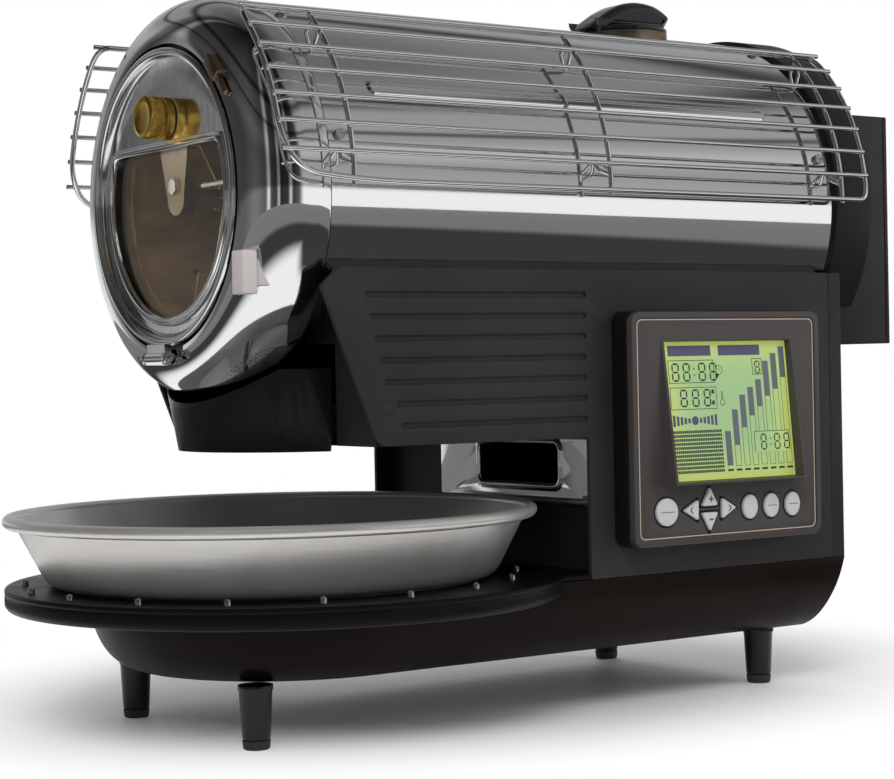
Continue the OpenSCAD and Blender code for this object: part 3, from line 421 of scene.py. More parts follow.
def levels_along(tree, value, start, end, stops):
    """Grey levels that ease from stop to stop, each a (value, level), between the values start and end."""
    ramp = tree.nodes.new("ShaderNodeValToRGB")
    ramp.color_ramp.interpolation = "EASE"
    marks = ramp.color_ramp.elements
    while len(marks) < len(stops):
        marks.new(0.5)
    for mark, (stop, level) in zip(marks, stops):
        mark.position = (stop - start) / (end - start)
        mark.color = (level, level, level, 1)
    tree.links.new(spread(tree, value, start, end), ramp.inputs[0])
    return ramp.outputs[0]


def new_material(name):
    """A material, its tree and its principled shader."""
    made = bpy.data.materials.new(name)
    made.use_nodes = True
    return made, made.node_tree, made.node_tree.nodes["Principled BSDF"]


def socket_group(name, outputs, **inputs):
    """An empty group: its tree, the sockets that it is given, with their first values, and those it gives."""
    group = bpy.data.node_groups.new(name, "ShaderNodeTree")
    for label, value in inputs.items():
        kind = "NodeSocketFloat" if isinstance(value, float) else "NodeSocketVector"
        group.interface.new_socket(label, in_out="INPUT", socket_type=kind).default_value = value
    for label in outputs:
        group.interface.new_socket(label, in_out="OUTPUT", socket_type="NodeSocketFloat")
    return group, group.nodes.new("NodeGroupInput").outputs, group.nodes.new("NodeGroupOutput").inputs


def use(tree, group, **values):
    """Places a shared group and gives its outputs."""
    node = tree.nodes.new("ShaderNodeGroup")
    node.node_tree = group
    return fill(tree, node, **values).outputs


# ---- shared effects ----
def grain_group():
    """Fine surface grain: the mean of two noises of different size, as a height."""
    group, given, gives = socket_group("grain", ["Height"], Vector=(0, 0, 0), Scale=900.0)
    fine = add(group, "TexNoise", Vector=given["Vector"], Scale=given["Scale"], Detail=4.0)
    broad = maths(group, "MULTIPLY", given["Scale"], 0.21)
    coarse = add(group, "TexNoise", Vector=given["Vector"], Scale=broad)
    group.links.new(maths(group, "MULTIPLY", maths(group, "ADD", fine, coarse), 0.5), gives["Height"])
    return group


def smudge_group():
    """Handling marks: slow noise broken by a finer one, raised to soft patches between 0 and 1."""
    group, given, gives = socket_group("smudge", ["Mask"], Vector=(0, 0, 0))
    fine = add(group, "TexNoise", Vector=given["Vector"], Scale=84.0, Detail=6.0)
    slow = add(group, "TexNoise", Vector=given["Vector"], Scale=14.0, Distortion=1.2)
    patches = spread(group, maths(group, "MULTIPLY", fine, slow), 0.18, 0.5)
    group.links.new(patches, gives["Mask"])
    return group


def brushed_group():
    """Brush lines: noise squeezed hard across the stroke, so that it streaks along it."""
    group, given, gives = socket_group("brushed", ["Height", "Mask"], Vector=(0, 0, 0), Across=(1, 1, 60))
    squeezed = add(group, "VectorMath", given["Vector"], given["Across"], operation="MULTIPLY")
    lines = add(group, "TexNoise", Vector=squeezed, Scale=40.0, Detail=5.0)
    group.links.new(lines, gives["Height"])
    group.links.new(spread(group, lines, 0.35, 0.65), gives["Mask"])
    return group


GRAIN, SMUDGE, BRUSHED = grain_group(), smudge_group(), brushed_group()
RING_R = 0.1  # metres from the axis at which ring_space keeps lengths as they are
DRUM_RING = ("x", AXIS_Z * MM)
TRAY_RING = (TRAY_X * MM, 0.0)


def ring_space(tree, place, centre):
    """Coordinates round an axis: radius, angle times a reference radius, and the place along the axis.

    centre is (x, y) in metres for an upright axis, or ("x", height) for the drum's.
    """
    x, y, z = axes(tree, place)
    if centre[0] == "x":
        a, b, along = y, maths(tree, "SUBTRACT", z, centre[1]), x
    else:
        a, b, along = maths(tree, "SUBTRACT", x, centre[0]), maths(tree, "SUBTRACT", y, centre[1]), z
    squares = maths(tree, "ADD", maths(tree, "MULTIPLY", a, a), maths(tree, "MULTIPLY", b, b))
    turn = maths(tree, "MULTIPLY", maths(tree, "ARCTAN2", b, a), RING_R)
    return add(tree, "CombineXYZ", maths(tree, "SQRT", squares), turn, along)


def look(name, colour, roughness, metallic=0.0, smudge=0.0, grain=0.0, grain_scale=900.0, tint=None,
         tint_scale=30.0, brush=None, brush_depth=0.0, brush_rough=0.0, ring=None, **sockets):
    """A surface finish.

    Colour drifts towards tint in slow patches, roughness rises by smudge where it has been handled,
    grain is the depth of its fine texture, and brush the squeeze of its brush lines.
    """
    made, tree, shader = new_material(name)
    place = object_place(tree)
    if ring:
        place = ring_space(tree, place, ring)
    rough, shade, heights = roughness, (*colour, 1), []
    if smudge:
        rough = spread(tree, use(tree, SMUDGE, Vector=place)["Mask"], 0.0, 1.0, roughness, roughness + smudge)
    if brush:
        lines = use(tree, BRUSHED, Vector=place, Across=brush)
        heights.append((lines["Height"], brush_depth))
        if brush_rough:
            rough = maths(tree, "ADD", maths(tree, "MULTIPLY", lines["Mask"], brush_rough), rough)
    if tint:
        patches = add(tree, "TexNoise", Vector=place, Scale=tint_scale, Detail=5.0)
        shade = mixed(tree, spread(tree, patches, 0.35, 0.68), colour, tint)
    if grain:
        heights.append((use(tree, GRAIN, Vector=place, Scale=grain_scale)["Height"], grain))
    for height, depth in heights:
        below = {"Normal": sockets["Normal"]} if "Normal" in sockets else {}
        sockets["Normal"] = add(tree, "Bump", Height=height, Strength=1.0, Distance=depth * MM, **below)
    fill(tree, shader, Base_Color=shade, Roughness=rough, Metallic=metallic, **sockets)
    return made


# ---- finishes: colour, roughness and metallic first ----
CHROME = look("chrome", (0.83, 0.83, 0.84), 0.03, 1.0, smudge=0.045, grain=0.012, grain_scale=55.0,
              ring=DRUM_RING)
DOOR_CHROME = look("door_chrome", (0.80, 0.80, 0.82), 0.07, 1.0, smudge=0.1, brush=(1, 30, 1),
                   brush_depth=0.02, brush_rough=0.1)
WIRE_CHROME = look("wire_chrome", (0.90, 0.90, 0.91), 0.07, 1.0, smudge=0.06)
TRAY_STEEL = look("tray_steel", (0.80, 0.785, 0.77), 0.28, 0.75, smudge=0.1, tint=(0.58, 0.555, 0.53),
                  tint_scale=9.0, brush=(1, 1, 60), brush_depth=0.03, brush_rough=0.08, ring=TRAY_RING)
STEEL = look("bright_steel", (0.62, 0.61, 0.60), 0.24, 1.0, smudge=0.1, brush=(50, 2, 2), brush_depth=0.006)
DULL_STEEL = look("dull_steel", (0.40, 0.36, 0.30), 0.36, 1.0, smudge=0.12, tint=(0.26, 0.20, 0.13))
DRUM_STEEL = look("drum_steel", (0.80, 0.58, 0.28), 0.3, 0.75, smudge=0.1, tint=(0.34, 0.21, 0.08),
                  tint_scale=22.0, brush=(1, 1, 40), brush_depth=0.01, ring=DRUM_RING)
ELEMENT = look("element", (0.12, 0.115, 0.11), 0.5, 0.6, grain=0.05)
BRASS = look("brass", (0.83, 0.56, 0.13), 0.2, 1.0, smudge=0.1, tint=(0.70, 0.44, 0.08), tint_scale=60.0)
CLIP = look("clip", (0.30, 0.23, 0.17), 0.3, 1.0, smudge=0.15, tint=(0.20, 0.15, 0.11))
STUD = look("stud", (0.55, 0.55, 0.54), 0.25, 1.0, smudge=0.2, tint=(0.4, 0.4, 0.39))
BODY_BLACK = look("body_black", (0.0185, 0.0185, 0.020), 0.45, grain=0.035, grain_scale=1300.0, smudge=0.08,
                  tint=(0.025, 0.025, 0.027), tint_scale=12.0, Specular_IOR_Level=0.3)
BASE_BLACK = look("base_black", (0.0060, 0.0034, 0.0026), 0.36, grain=0.02, grain_scale=700.0, smudge=0.1,
                  tint=(0.0095, 0.0052, 0.0038), tint_scale=8.0, Specular_IOR_Level=0.08)
CAP_BLACK = look("cap_black", (0.010, 0.010, 0.011), 0.4, grain=0.02, smudge=0.1,
                 tint=(0.014, 0.014, 0.015), tint_scale=10.0, Specular_IOR_Level=0.25)
DECK_BLACK = look("deck_black", (0.0038, 0.0036, 0.0036), 0.34, grain=0.02, grain_scale=700.0, smudge=0.12,
                  Specular_IOR_Level=0.1)
PANEL_BLACK = look("panel_black", (0.006, 0.006, 0.0065), 0.28, grain=0.01, grain_scale=500.0, smudge=0.1,
                   Specular_IOR_Level=0.2)
GLOSS_BLACK = look("gloss_black", (0.008, 0.008, 0.0085), 0.12, smudge=0.1, Coat_Weight=0.5,
                   Coat_Roughness=0.06)
SCOOP_BLACK = look("scoop_black", (0.006, 0.006, 0.0065), 0.26, smudge=0.12, grain=0.01, grain_scale=400.0,
                   Specular_IOR_Level=0.25)
FOOT_BLACK = look("foot_black", (0.010, 0.008, 0.007), 0.18, smudge=0.12, Specular_IOR_Level=0.3)
CHASSIS = look("chassis_paint", (0.012, 0.012, 0.0125), 0.45, grain=0.03, smudge=0.1,
               Specular_IOR_Level=0.25)
RUBBER = look("rubber", (0.02, 0.02, 0.02), 0.7, grain=0.04)
BEZEL = look("bezel_face", (0.060, 0.053, 0.052), 0.36, grain=0.012, grain_scale=1500.0, smudge=0.1,
             tint=(0.052, 0.046, 0.045), tint_scale=10.0, Specular_IOR_Level=0.35)
LINE = look("face_line", (0.52, 0.42, 0.33), 0.4, smudge=0.1)
KEY_GREY = look("key_grey", (0.58, 0.585, 0.60), 0.42, grain=0.02, grain_scale=1600.0,
                tint=(0.52, 0.525, 0.54))
INK = look("ink", (0.025, 0.04, 0.03), 0.5, grain=0.01)
BAR_INK = look("bar_ink", (0.085, 0.08, 0.15), 0.5, grain=0.01)
BAR_GREY = look("bar_grey", (0.12, 0.13, 0.16), 0.5, grain=0.01)
CERAMIC = look("ceramic", (0.58, 0.54, 0.53), 0.4, grain=0.02, smudge=0.15, tint=(0.50, 0.46, 0.46))
MOTOR = look("motor", (0.22, 0.22, 0.23), 0.4, 0.7, grain=0.03, tint=(0.18, 0.18, 0.18))
BOARD = look("board", (0.02, 0.13, 0.06), 0.45, grain=0.03, tint=(0.015, 0.09, 0.04))
FILTER = look("filter", (0.62, 0.60, 0.55), 0.9, grain=0.3, grain_scale=600.0, tint=(0.5, 0.47, 0.42))
FAN = look("fan", (0.02, 0.02, 0.021), 0.5, grain=0.03, smudge=0.1)
# thin heat-proof glass with a faint warm stain
GLASS = look("window_glass", (0.93, 0.90, 0.84), 0.015, Transmission_Weight=1.0, IOR=1.15)


# ---- drum housing ----
def smooth_step(value):
    """0 below 0, 1 above 1, and an S between."""
    value = np.clip(value, 0, 1)
    return value * value * (3 - 2 * value)


def shroud():
    """Cylinder from cut to cut, whose radius rises by a smooth step at the edge of each pressed bar."""
    bar_angle, bar_half, bar_len, bar_edge, lift, sheet, chute_r = 29, 4.6, 243, 1.7, 0.9, 0.8, 20.5
    bar_mid = (SHROUD_X0 + SHROUD_X1) / 2 - 5.6
    dip = math.degrees(math.asin((AXIS_Z - SHROUD_CUT) / SHROUD_R))
    near = bar_angle + np.linspace(-4, 4, 40)
    angle = np.unique(np.concatenate([np.linspace(-dip, 180 + dip, 160), near, 180 - near]))
    ends = bar_mid + np.array([[-1], [1]]) * (bar_len / 2 - 4 + np.linspace(-6, 6, 22))
    x = np.unique(np.concatenate([np.linspace(SHROUD_X0, SHROUD_X1, 26), ends.ravel()]))
    a, xx = np.radians(angle)[:, None], x[None, :]
    along = np.maximum(np.abs(xx - bar_mid) - (bar_len / 2 - bar_half), 0)
    rise = 0
    for middle in (bar_angle, 180 - bar_angle):
        across = SHROUD_R * (a - math.radians(middle))
        rise = rise + lift * smooth_step((bar_half - np.hypot(along, across)) / bar_edge)
    outer = around_drum(SHROUD_R + rise, xx, a)
    inner = around_drum(SHROUD_R - sheet + 0 * rise, xx, a)
    foot, top = AXIS_Z + 50, AXIS_Z + 130
    chute = turned_z([[0, foot], [chute_r, foot], [chute_r, top], [0, top]], CHUTE_X)
    piece("shroud_skin", shell(outer, inner), CHROME, "drum_shroud", cutters=[chute])


def hood():
    """Quarter ellipse from the mouth out to the straight band, turned about the drum axis, in thin sheet."""
    mouth, band, sheet, rear = 71.0, -148.3, 1, SHROUD_X0 - 0.5
    a = np.radians(np.linspace(0, 90, 26))
    flare = np.stack([mouth + (HOOD_R - mouth) * np.sin(a), band - (band - HOOD_X) * np.cos(a)], -1)
    inside = flare + sheet * np.stack([-np.sin(a), np.cos(a)], -1)
    outer = [[HOOD_R, band + 5], [HOOD_R, rear - 0.6], [HOOD_R - 0.3, rear]]
    inner = [[HOOD_R - sheet, rear], [HOOD_R - sheet, band]]
    profile = closed(np.concatenate([flare, outer, inner, inside[::-1]]))
    angle = full_turn(224)[:, None]
    skin = patch(around_drum(profile[None, :, 0], profile[None, :, 1], angle), wrap_rows=True)
    piece("hood_skin", [skin], CHROME, "front_hood", crease=50)


# ---- door ----
WINDOW_R, WINDOW_TOP, WINDOW_STEPS = 57.0, 24.0, 288


def window_radius(angle, grow):
    """Smooth least of the window's circle and of its flat top's distance, grown by a margin."""
    power = 22
    circle_part = (1 / (WINDOW_R + grow)) ** power
    flat_part = (np.maximum(np.sin(angle), 0) / (WINDOW_TOP + grow)) ** power
    return (circle_part + flat_part) ** (-1 / power)


def window_rows(columns):
    """Grid round the window: each column is (growth, radius of a circle, share of that circle, x)."""
    angle = full_turn(WINDOW_STEPS)
    rows = [around_drum(window_radius(angle, grow) * (1 - share) + radius * share, x, angle)
            for grow, radius, share, x in columns]
    return patch(np.stack(rows, 1), wrap_rows=True, wrap_cols=True)


def door():
    """Plate from the window's edge out to the round rim, whose edge is a rolled bead, in one closed skin."""
    inside, bead_x, back_x = DOOR_R - 2 * DOOR_BEAD, HOOD_X + 0.2, DOOR_X + DOOR_PLATE
    front = [(0.5, 0, 0, back_x), (0.5, 0, 0, DOOR_X)]
    front += [(3.5, inside - 2.2, share, DOOR_X) for share in (0, 0.35, 0.7, 1)]
    front += [(0, inside - 0.9, 1, DOOR_X - 0.35), (0, inside - 0.3, 1, DOOR_X - 1.3)]
    turns = np.radians(np.linspace(190, 530, 22))
    roll = [(0, DOOR_R - DOOR_BEAD * (1 - math.cos(t)), 1, bead_x - DOOR_BEAD * math.sin(t)) for t in turns]
    back = [(0, inside + 0.5, 1, DOOR_X - 0.6), (0, inside + 0.5, 1, back_x)]
    back += [(3.5, inside - 2.2, share, back_x) for share in (1, 0.5)]
    half = 8.7
    knuckle = turned_y(KNUCKLE_R, HINGE_X, HINGE_Z, -half, half)
    leaf = box_surface((HINGE_X - 1, -half, HINGE_Z + 1), (HINGE_X + 2.6, half, AXIS_Z - DOOR_R + 1.5))
    piece("door_skin", [window_rows(front + roll + back), knuckle, leaf], DOOR_CHROME, "front_door",
          crease=42)
    ridge = eased([[-1.7, 0.05], [-1.7, 1.6], [-0.6, 2.75], [0.9, 2.5], [1.35, 1.5], [1.9, 2.0], [2.6, 1.5],
                   [2.7, 0.05]], 0.45, 3)
    trim = window_rows([(grow, 0, 0, DOOR_X - height) for grow, height in ridge])
    piece("window_frame", [trim], CHROME, "window_bead", crease=60)
    angle = full_turn(WINDOW_STEPS)
    reach = window_radius(angle, 0.3)
    rim = ((0, DOOR_X), (1, DOOR_X), (1, back_x), (0, back_x))
    pane = patch(np.stack([around_drum(reach * share, x, angle) for share, x in rim], 1), wrap_rows=True)
    piece("window_pane", [pane], GLASS, "window_glass")


def knob():
    """Brass knob: a profile turned about its own axis, whose radius dips tooth by tooth at its knurls."""
    length, height, teeth, knurl = 13.0, 36.9, 72, 0.32
    # radius, distance behind the front, and 1 where it is knurled
    profile = np.array([[0, 0.55, 0], [6.6, 0.55, 0], [7.3, 0.35, 0], [7.7, 0, 0], [8.9, 0, 0],
                        [9.35, 0.25, 0], [9.7, 0.8, 1], [9.8, 1.1, 1], [9.8, 6.6, 1], [9.6, 6.9, 0],
                        [8.9, 7.2, 0], [8.9, 8.2, 0], [9.6, 8.5, 0], [9.8, 8.8, 1], [9.8, 12.0, 1],
                        [9.4, 12.6, 0], [7.6, 12.7, 0], [7.6, 12.75, 0], [2.5, 12.75, 0],
                        [2.5, length + 1.3, 0], [0, length + 1.3, 0]])
    angle = full_turn(teeth * 6)[:, None]
    dip = knurl * (0.5 + 0.5 * np.cos(teeth * angle)) ** 0.7
    reach = profile[None, :, 0] - dip * profile[None, :, 2]
    points = np.broadcast_arrays(DOOR_X - length + profile[None, :, 1], reach * np.sin(angle),
                                 AXIS_Z + height + reach * np.cos(angle))
    piece("brass_knob", [patch(np.stack(points, -1), wrap_rows=True)], BRASS, "door_knob", crease=38)


def at_rim(angle, surface):
    """A surface drawn as x, radius and distance round the rim, laid at an angle about the drum axis."""
    a = math.radians(angle)
    outwards, onwards = (0, -math.cos(a), math.sin(a)), (0, math.sin(a), math.cos(a))
    return moved(surface, (0, 0, AXIS_Z), (1, 0, 0), outwards, onwards)


def door_fittings():
    """Latch block and clip on the hood's edge, and the fixed half of the hinge with its pin."""
    z0, z1 = low("latch_block")[2], high("latch_block")[2]
    block = box_surface((HINGE_X, -81.2, z0 + 0.4), (-168.2, -70.9, z1 - 0.4))
    stem = box_surface((-170, -79.0, z0 + 4), (-160.5, -73.5, z1 - 4))
    piece("latch", [block, stem], CERAMIC, "latch_block", bevel=0.7)
    cap = at_rim(44, box_surface((HINGE_X, 73.6, -6), (-168.5, 79.8, 6.5)))
    spring = at_rim(38.5, box_surface((-173.4, 74.2, -7.5), (-171.2, 77.2, 4)))
    foot = at_rim(44, box_surface((-170, 74.5, -4.5), (-163, 78.5, 4.5)))
    piece("clip", [cap, spring, foot], CLIP, "door_clip", bevel=0.4)
    pin_r, pin_half = 1.5, 13.2
    parts = [turned_y(pin_r, HINGE_X, HINGE_Z, -pin_half, pin_half)]
    for y0, y1 in ((-12.4, -9.0), (9.0, 12.4)):
        parts.append(turned_y(KNUCKLE_R, HINGE_X, HINGE_Z, y0, y1))
        parts.append(box_surface((HINGE_X + 0.4, y0, HINGE_Z - 2.9), (HOOD_X + 2.2, y1, HINGE_Z + 0.6)))
    piece("hinge", parts, STEEL, "hinge_bracket", crease=45)


# ---- wire guards ----
GUARD_R, GUARD_X0, GUARD_X1 = 107.0, -168.5, 180.5
GUARD_A0, GUARD_A1, GUARD_N = 0.5, 48.0, 8  # degrees about the drum axis, and places for wires
FRAME_WIRE_R, WIRE_R, STAY_R, HOOK_R = 1.35, 1.15, 1.2, 0.85


def unrolled(path):
    """Points given as x, degrees and drop below the guard's radius, laid on the near side; and outwards."""
    x, degrees, drop = np.asarray(path, float).T
    angle = np.radians(degrees)
    return around_drum(GUARD_R - drop, x, angle), around_drum(1.0, 0, angle) - (0, 0, AXIS_Z)


def guard_wires():
    """Frame wire bent round all four sides, wires welded on it, stays, and hooks that stand on the shroud."""
    drop, foot = 2 * WIRE_R - 0.15, GUARD_R - SHROUD_R - 0.9
    top = GUARD_A1 + 0.9
    loop = [[GUARD_X0, top, drop], [GUARD_X1, top, drop], [GUARD_X1, GUARD_A0, 0.6],
            [GUARD_X0 + 44, GUARD_A0, 0], [GUARD_X0 + 9, GUARD_A0 + 1.6, 0.3],
            [GUARD_X0, GUARD_A0 + 9.5, drop]]
    bends = eased(loop, [6, 6, 5, 16, 9, 6], 8, closed=True)
    dense = []
    for start, end in zip(bends, np.roll(bends, -1, 0)):
        run = end - start
        steps = max(1, int(abs(run[1]) / 3))
        dense.append(start + run * (np.arange(steps) / steps)[:, None])
    surfaces = [wire(*unrolled(np.concatenate(dense)), FRAME_WIRE_R, closed=True)]
    for k in range(1, GUARD_N):
        a = GUARD_A0 + k * (GUARD_A1 - GUARD_A0) / (GUARD_N - 1)
        surfaces.append(wire(*unrolled([[x, a, 0] for x in (GUARD_X0 - 1, 0, GUARD_X1 + 1)]), WIRE_R))
    for x in (GUARD_X0 + 36, 11.5, GUARD_X1 - 16):
        arc = [[x, a, drop] for a in np.linspace(GUARD_A0 - 1, GUARD_A1 + 2, 40)]
        surfaces.append(wire(*unrolled(arc), STAY_R))
        for a, way in ((6.0, 1), (44.5, -1)):
            hook = [[x, a - 1.5 * way, drop], [x - 3.2, a + way * 0.4, foot * 0.55],
                    [x - 0.6, a + way * 3.6, foot], [x + 0.6, a + way * 3.6, foot],
                    [x + 3.2, a + way * 0.4, foot * 0.55], [x, a - 1.2 * way, drop]]
            surfaces.append(wire(*unrolled(eased(hook, 1.2, 3)), HOOK_R, sides=8))
    return surfaces


def guards():
    """The near guard, and its mirror image on the far side."""
    near = guard_wires()
    for side, wires in (("near", near), ("far", mirrored(near))):
        piece("guard_wires_" + side, wires, WIRE_CHROME, "guard_" + side, crease=60)


# ---- base ----
PAN_PROFILE = [[0, 0], [73, 0], [79, 2], [84.5, 6], [89, 12], [92.4, 20], [BODY_W, 28],
               [BODY_W, PAN_TOP - PAN_Z]]


def pan():
    """Bowl profile carried along a U: straight down the near side, half round the front and back up again."""
    rear_lean, slot_pitch, slot_half, slots_r, slots_x = 13.3, 9, 2.2, 46, 75
    profile = eased(PAN_PROFILE, 4.5, 4)
    radius, z = profile[:, 0], profile[:, 1] + PAN_Z
    end = PAN_REAR - rear_lean * (1 - profile[:, 1] / (PAN_TOP - PAN_Z))
    share = np.linspace(0, 1, 12)[:, None]
    turn = np.radians(np.linspace(0, 180, 97))[1:-1, None]
    near = np.stack(np.broadcast_arrays(end * (1 - share) + DECK_X * share, -radius, z), -1)
    front = np.stack(np.broadcast_arrays(DECK_X - radius * np.sin(turn), -radius * np.cos(turn), z), -1)
    grid = np.concatenate([near, front, near[::-1] * FLIP_Y])
    slots = []
    for out in range(-4 * slot_pitch, 5 * slot_pitch, slot_pitch):
        x, half = slots_x + out, math.sqrt(slots_r ** 2 - out ** 2) - 4
        slots.append(box_surface((x - slot_half, -half, PAN_Z - 2), (x + slot_half, half, PAN_Z + 4)))
    piece("pan_shell", [patch(grid), patch(np.stack([grid[0], grid[-1]]))], BASE_BLACK, "base_pan",
          wall=2, cutters=slots, bevel=0.8)


def deck():
    """Round plate joined to the column's width, with four air openings, and a rolled band round its edge."""
    half, inner, thick, spindle_r = math.degrees(math.asin(BODY_W / DECK_R)), BODY_W - 2.8, 3.0, 5.1
    a = np.radians(np.linspace(half, 360 - half, 180))
    disc = np.stack([DECK_X + DECK_R * np.cos(a), DECK_R * np.sin(a)], -1)
    body = [[3.7, -BODY_W], [3.7, -inner], [13.5, -inner], [13.5, inner], [3.7, inner], [3.7, BODY_W]]
    out, back = np.radians(np.linspace(5, 85, 20)), np.radians(np.linspace(70, 20, 20))
    opening = np.concatenate([reach * np.stack([np.cos(turn), np.sin(turn)], -1)
                              for reach, turn in ((60, out), (17, back))])
    holes = [spun(opening, 45 + 90 * k) + (TRAY_X, 0) for k in range(4)] + [circle(TRAY_X, 0, spindle_r)]
    top = moved(plate([np.concatenate([disc, body])], thick, 1.2, holes, 3), (0, 0, DECK_TOP - thick))
    section = eased([[-3.4, -1.3], [-1.2, -1.0], [0, -3.4], [0, -8.2], [-1.8, -10.2], [-3.6, -9.8],
                     [-3.2, -8.0], [-2.4, -5.0]], 1.1, 3) + (DECK_R, DECK_TOP)
    band = turned_z(closed(section), DECK_X, 0, half + 0.2, 360 - half - 0.2, 180)
    piece("deck_skin", [top, band], DECK_BLACK, "base_deck", crease=40)


def studs():
    """Low domes in a ring, on which the tray stands."""
    number, ring_r, radius, rise = 18, 117.5, 1.5, 1.2
    angles = np.radians([0, 20, 40, 60, 80])
    dome = [[radius * math.sin(a), DECK_TOP + 1.8 + rise * math.cos(a)] for a in angles]
    dome += [[radius, DECK_TOP - 0.2], [0, DECK_TOP - 0.2]]
    spots = ring_r * spun(circle(0, 0, 1, number), 10)
    surfaces = [turned_z(dome, TRAY_X + x, y, steps=16) for x, y in spots]
    piece("stud_domes", surfaces, STUD, "deck_studs")


def feet():
    """Tapered turned legs with a collar at the top, and rubber tips."""
    leg = eased([[0, PAN_Z], [8.0, PAN_Z], [8.0, PAN_Z - 2.2], [7.5, PAN_Z - 2.8], [6.45, 5.2], [6.0, 4.5],
                 [0, 4.5]], 0.4, 2)
    tip = eased([[0, 4.4], [6.2, 4.4], [6.4, 3.8], [6.0, 0.6], [5.4, 0], [0, 0]], 0.3, 2)
    spots = [(x, side * y) for x, y in ((-160.8, 58.7), (139.7, 62.9)) for side in (-1, 1)]
    piece("legs", [turned_z(leg, x, y, steps=48) for x, y in spots], FOOT_BLACK, "foot_stems")
    piece("leg_tips", [turned_z(tip, x, y, steps=48) for x, y in spots], RUBBER, "foot_pads")


# ---- body ----
OVER_Z, COLUMN_X, PLATE_X = 133.5, 4.0, 13.5
SKIN_OUTLINE = [[SHROUD_X0 + 2.5, BODY_TOP], [SHROUD_X0 - 6.7, BODY_TOP - 8], [DECK_X - 8.2, OVER_Z + 2],
                [DECK_X - 4.5, OVER_Z], [COLUMN_X, OVER_Z], [COLUMN_X, BODY_BOT], [SKIN_X1, BODY_BOT],
                [SKIN_X1, BODY_TOP]]


def skins():
    """Side panels: an outer layer with seven slots over a closed inner one, so that each slot is a groove."""
    layer, groove_half = 1.3, 1.15
    outline = eased(SKIN_OUTLINE, [1.5, 2, 2, 2, 1.2, 1.2, 1.2, 1.2], 4, closed=True)
    lean = (SHROUD_X0 + 0.8 - DECK_X + 8.2) / (BODY_TOP - OVER_Z)
    grooves = []
    for k in range(7):
        z = 201.4 - 9.8 * k
        x0 = DECK_X - 8.2 + (z - OVER_Z) * lean + (16 if k > 4 else 12)
        grooves.append(rounded_box(x0, z - groove_half, COLUMN_X - 0.6, z + groove_half, 1.1))
    outer = on_side(plate([outline], layer, 0.55, grooves, 3), -BODY_W + layer)
    inner = on_side(plate([np.array(SKIN_OUTLINE)], layer, 0.2), -BODY_W + 2.5)
    boss = on_side(turned_z(eased([[0, 0.5], [3.0, 0.5], [3.5, 0]], 0.3, 2), steps=40), -BODY_W + 0.05)
    boss = moved(boss, (DECK_X - 1.5, 0, OVER_Z + 17.6))
    flange = box_surface((SHROUD_X0 + 3, -BODY_W + 2.4, BODY_TOP - 2),
                         (SKIN_X1 - 0.3, -86.4, BODY_TOP - 0.05))
    near = [outer, inner, boss, flange]
    for side, panel in (("near", near), ("far", mirrored(near))):
        piece("side_" + side, panel, BODY_BLACK, "side_skin_" + side)


def column_front():
    """Bright plate on the column with its window, whose edge is a flared lip."""
    y0, z0, y1, z1, corner = -59, 109.5, 7, 129.5, 4
    window = rounded_box(y0, z0, y1, z1, corner)
    sheet = moved(plate([rounded_box(-87, 99.5, 42, OVER_Z - 0.3, 1.2)], 1.0, 0.3, [window]),
                  (PLATE_X, 0, 0), (0, 1, 0), (0, 0, 1), (-1, 0, 0))
    rows = []
    for grow, rise in ((-0.1, -1.0), (-0.1, 1.2), (0.5, 2.0), (1.4, 2.1), (2.6, 1.5), (3.6, 1.0)):
        loop = rounded_box(y0 - grow, z0 - grow, y1 + grow, z1 + grow, corner + grow)
        rows.append(np.c_[np.full(len(loop), PLATE_X - rise), loop])
    flare = patch(np.stack(rows, 1), wrap_rows=True, wrap_cols=True)
    piece("column_face", [sheet, flare], CHROME, "column_plate", crease=60)


# ---- controls ----
CTRL_X0, CTRL_Y, CTRL_Z0 = low("control_box") * FLIP_Y
CTRL_X1, CTRL_Z1 = high("control_box")[0], high("control_box")[2]
PANEL_Y = CTRL_Y + 3
KEY_TOP = -low("btn_power")[1]
KEYS = {"power": (38.6, 96.7), "left": (54.6, 96.8), "up": (65.9, 102.2), "down": (65.9, 91.4),
        "right": (77.6, 96.8), "enter": (92.5, 96.6), "back": (106.9, 96.6), "set": (121.3, 96.6)}
ARROWS = {"left": 180, "up": 90, "down": -90, "right": 0}


def key_outline(name, grow=0.0):
    """Outline of a key's face: a circle, an upright ellipse, or a rounded triangle that points its way."""
    x, z = KEYS[name]
    if name == "power":
        return circle(x, z, 6.7 + grow, 64)
    if name not in ARROWS:
        return ellipse(x, z, 4.85 + grow, 6.0 + grow, 64)
    base, half = -3.85 - grow, 5.3 + 1.6 * grow
    tip = [[5.6 + 2.1 * grow, 0], [base, half], [base, -half]]
    return spun(eased(tip, [1.5, 1.7, 1.7], 6, closed=True), ARROWS[name]) + (x, z)


def panel_outline(inset, reach):
    """The control box's outline moved inwards."""
    return rounded_box(CTRL_X0 + inset, CTRL_Z0 + inset, CTRL_X1 - inset, CTRL_Z1 - inset, reach)


def control_face():
    """Panel with its display surround, a raised rounded border, a fine pale line in it and dark key wells."""
    softened("bezel", BEZEL, 0.35)
    border = on_side(plate([panel_outline(0.5, 6)], 0.9, 0.4, [panel_outline(3.6, 4)], 3), -PANEL_Y + 0.15)
    piece("panel_border", [border], BEZEL, "bezel", stands_for=False)
    line = on_side(plate([panel_outline(4.05, 3.6)], 0.3, 0.0, [panel_outline(4.55, 3.2)]), -PANEL_Y + 0.27)
    piece("panel_line", [line], LINE, "bezel", stands_for=False)
    wells = [on_side(plate([key_outline(name, 0.95)], 0.12, 0.0, [key_outline(name, 0.25)]), -PANEL_Y + 0.06)
             for name in KEYS]
    piece("key_wells", wells, PANEL_BLACK, "control_box", stands_for=False)


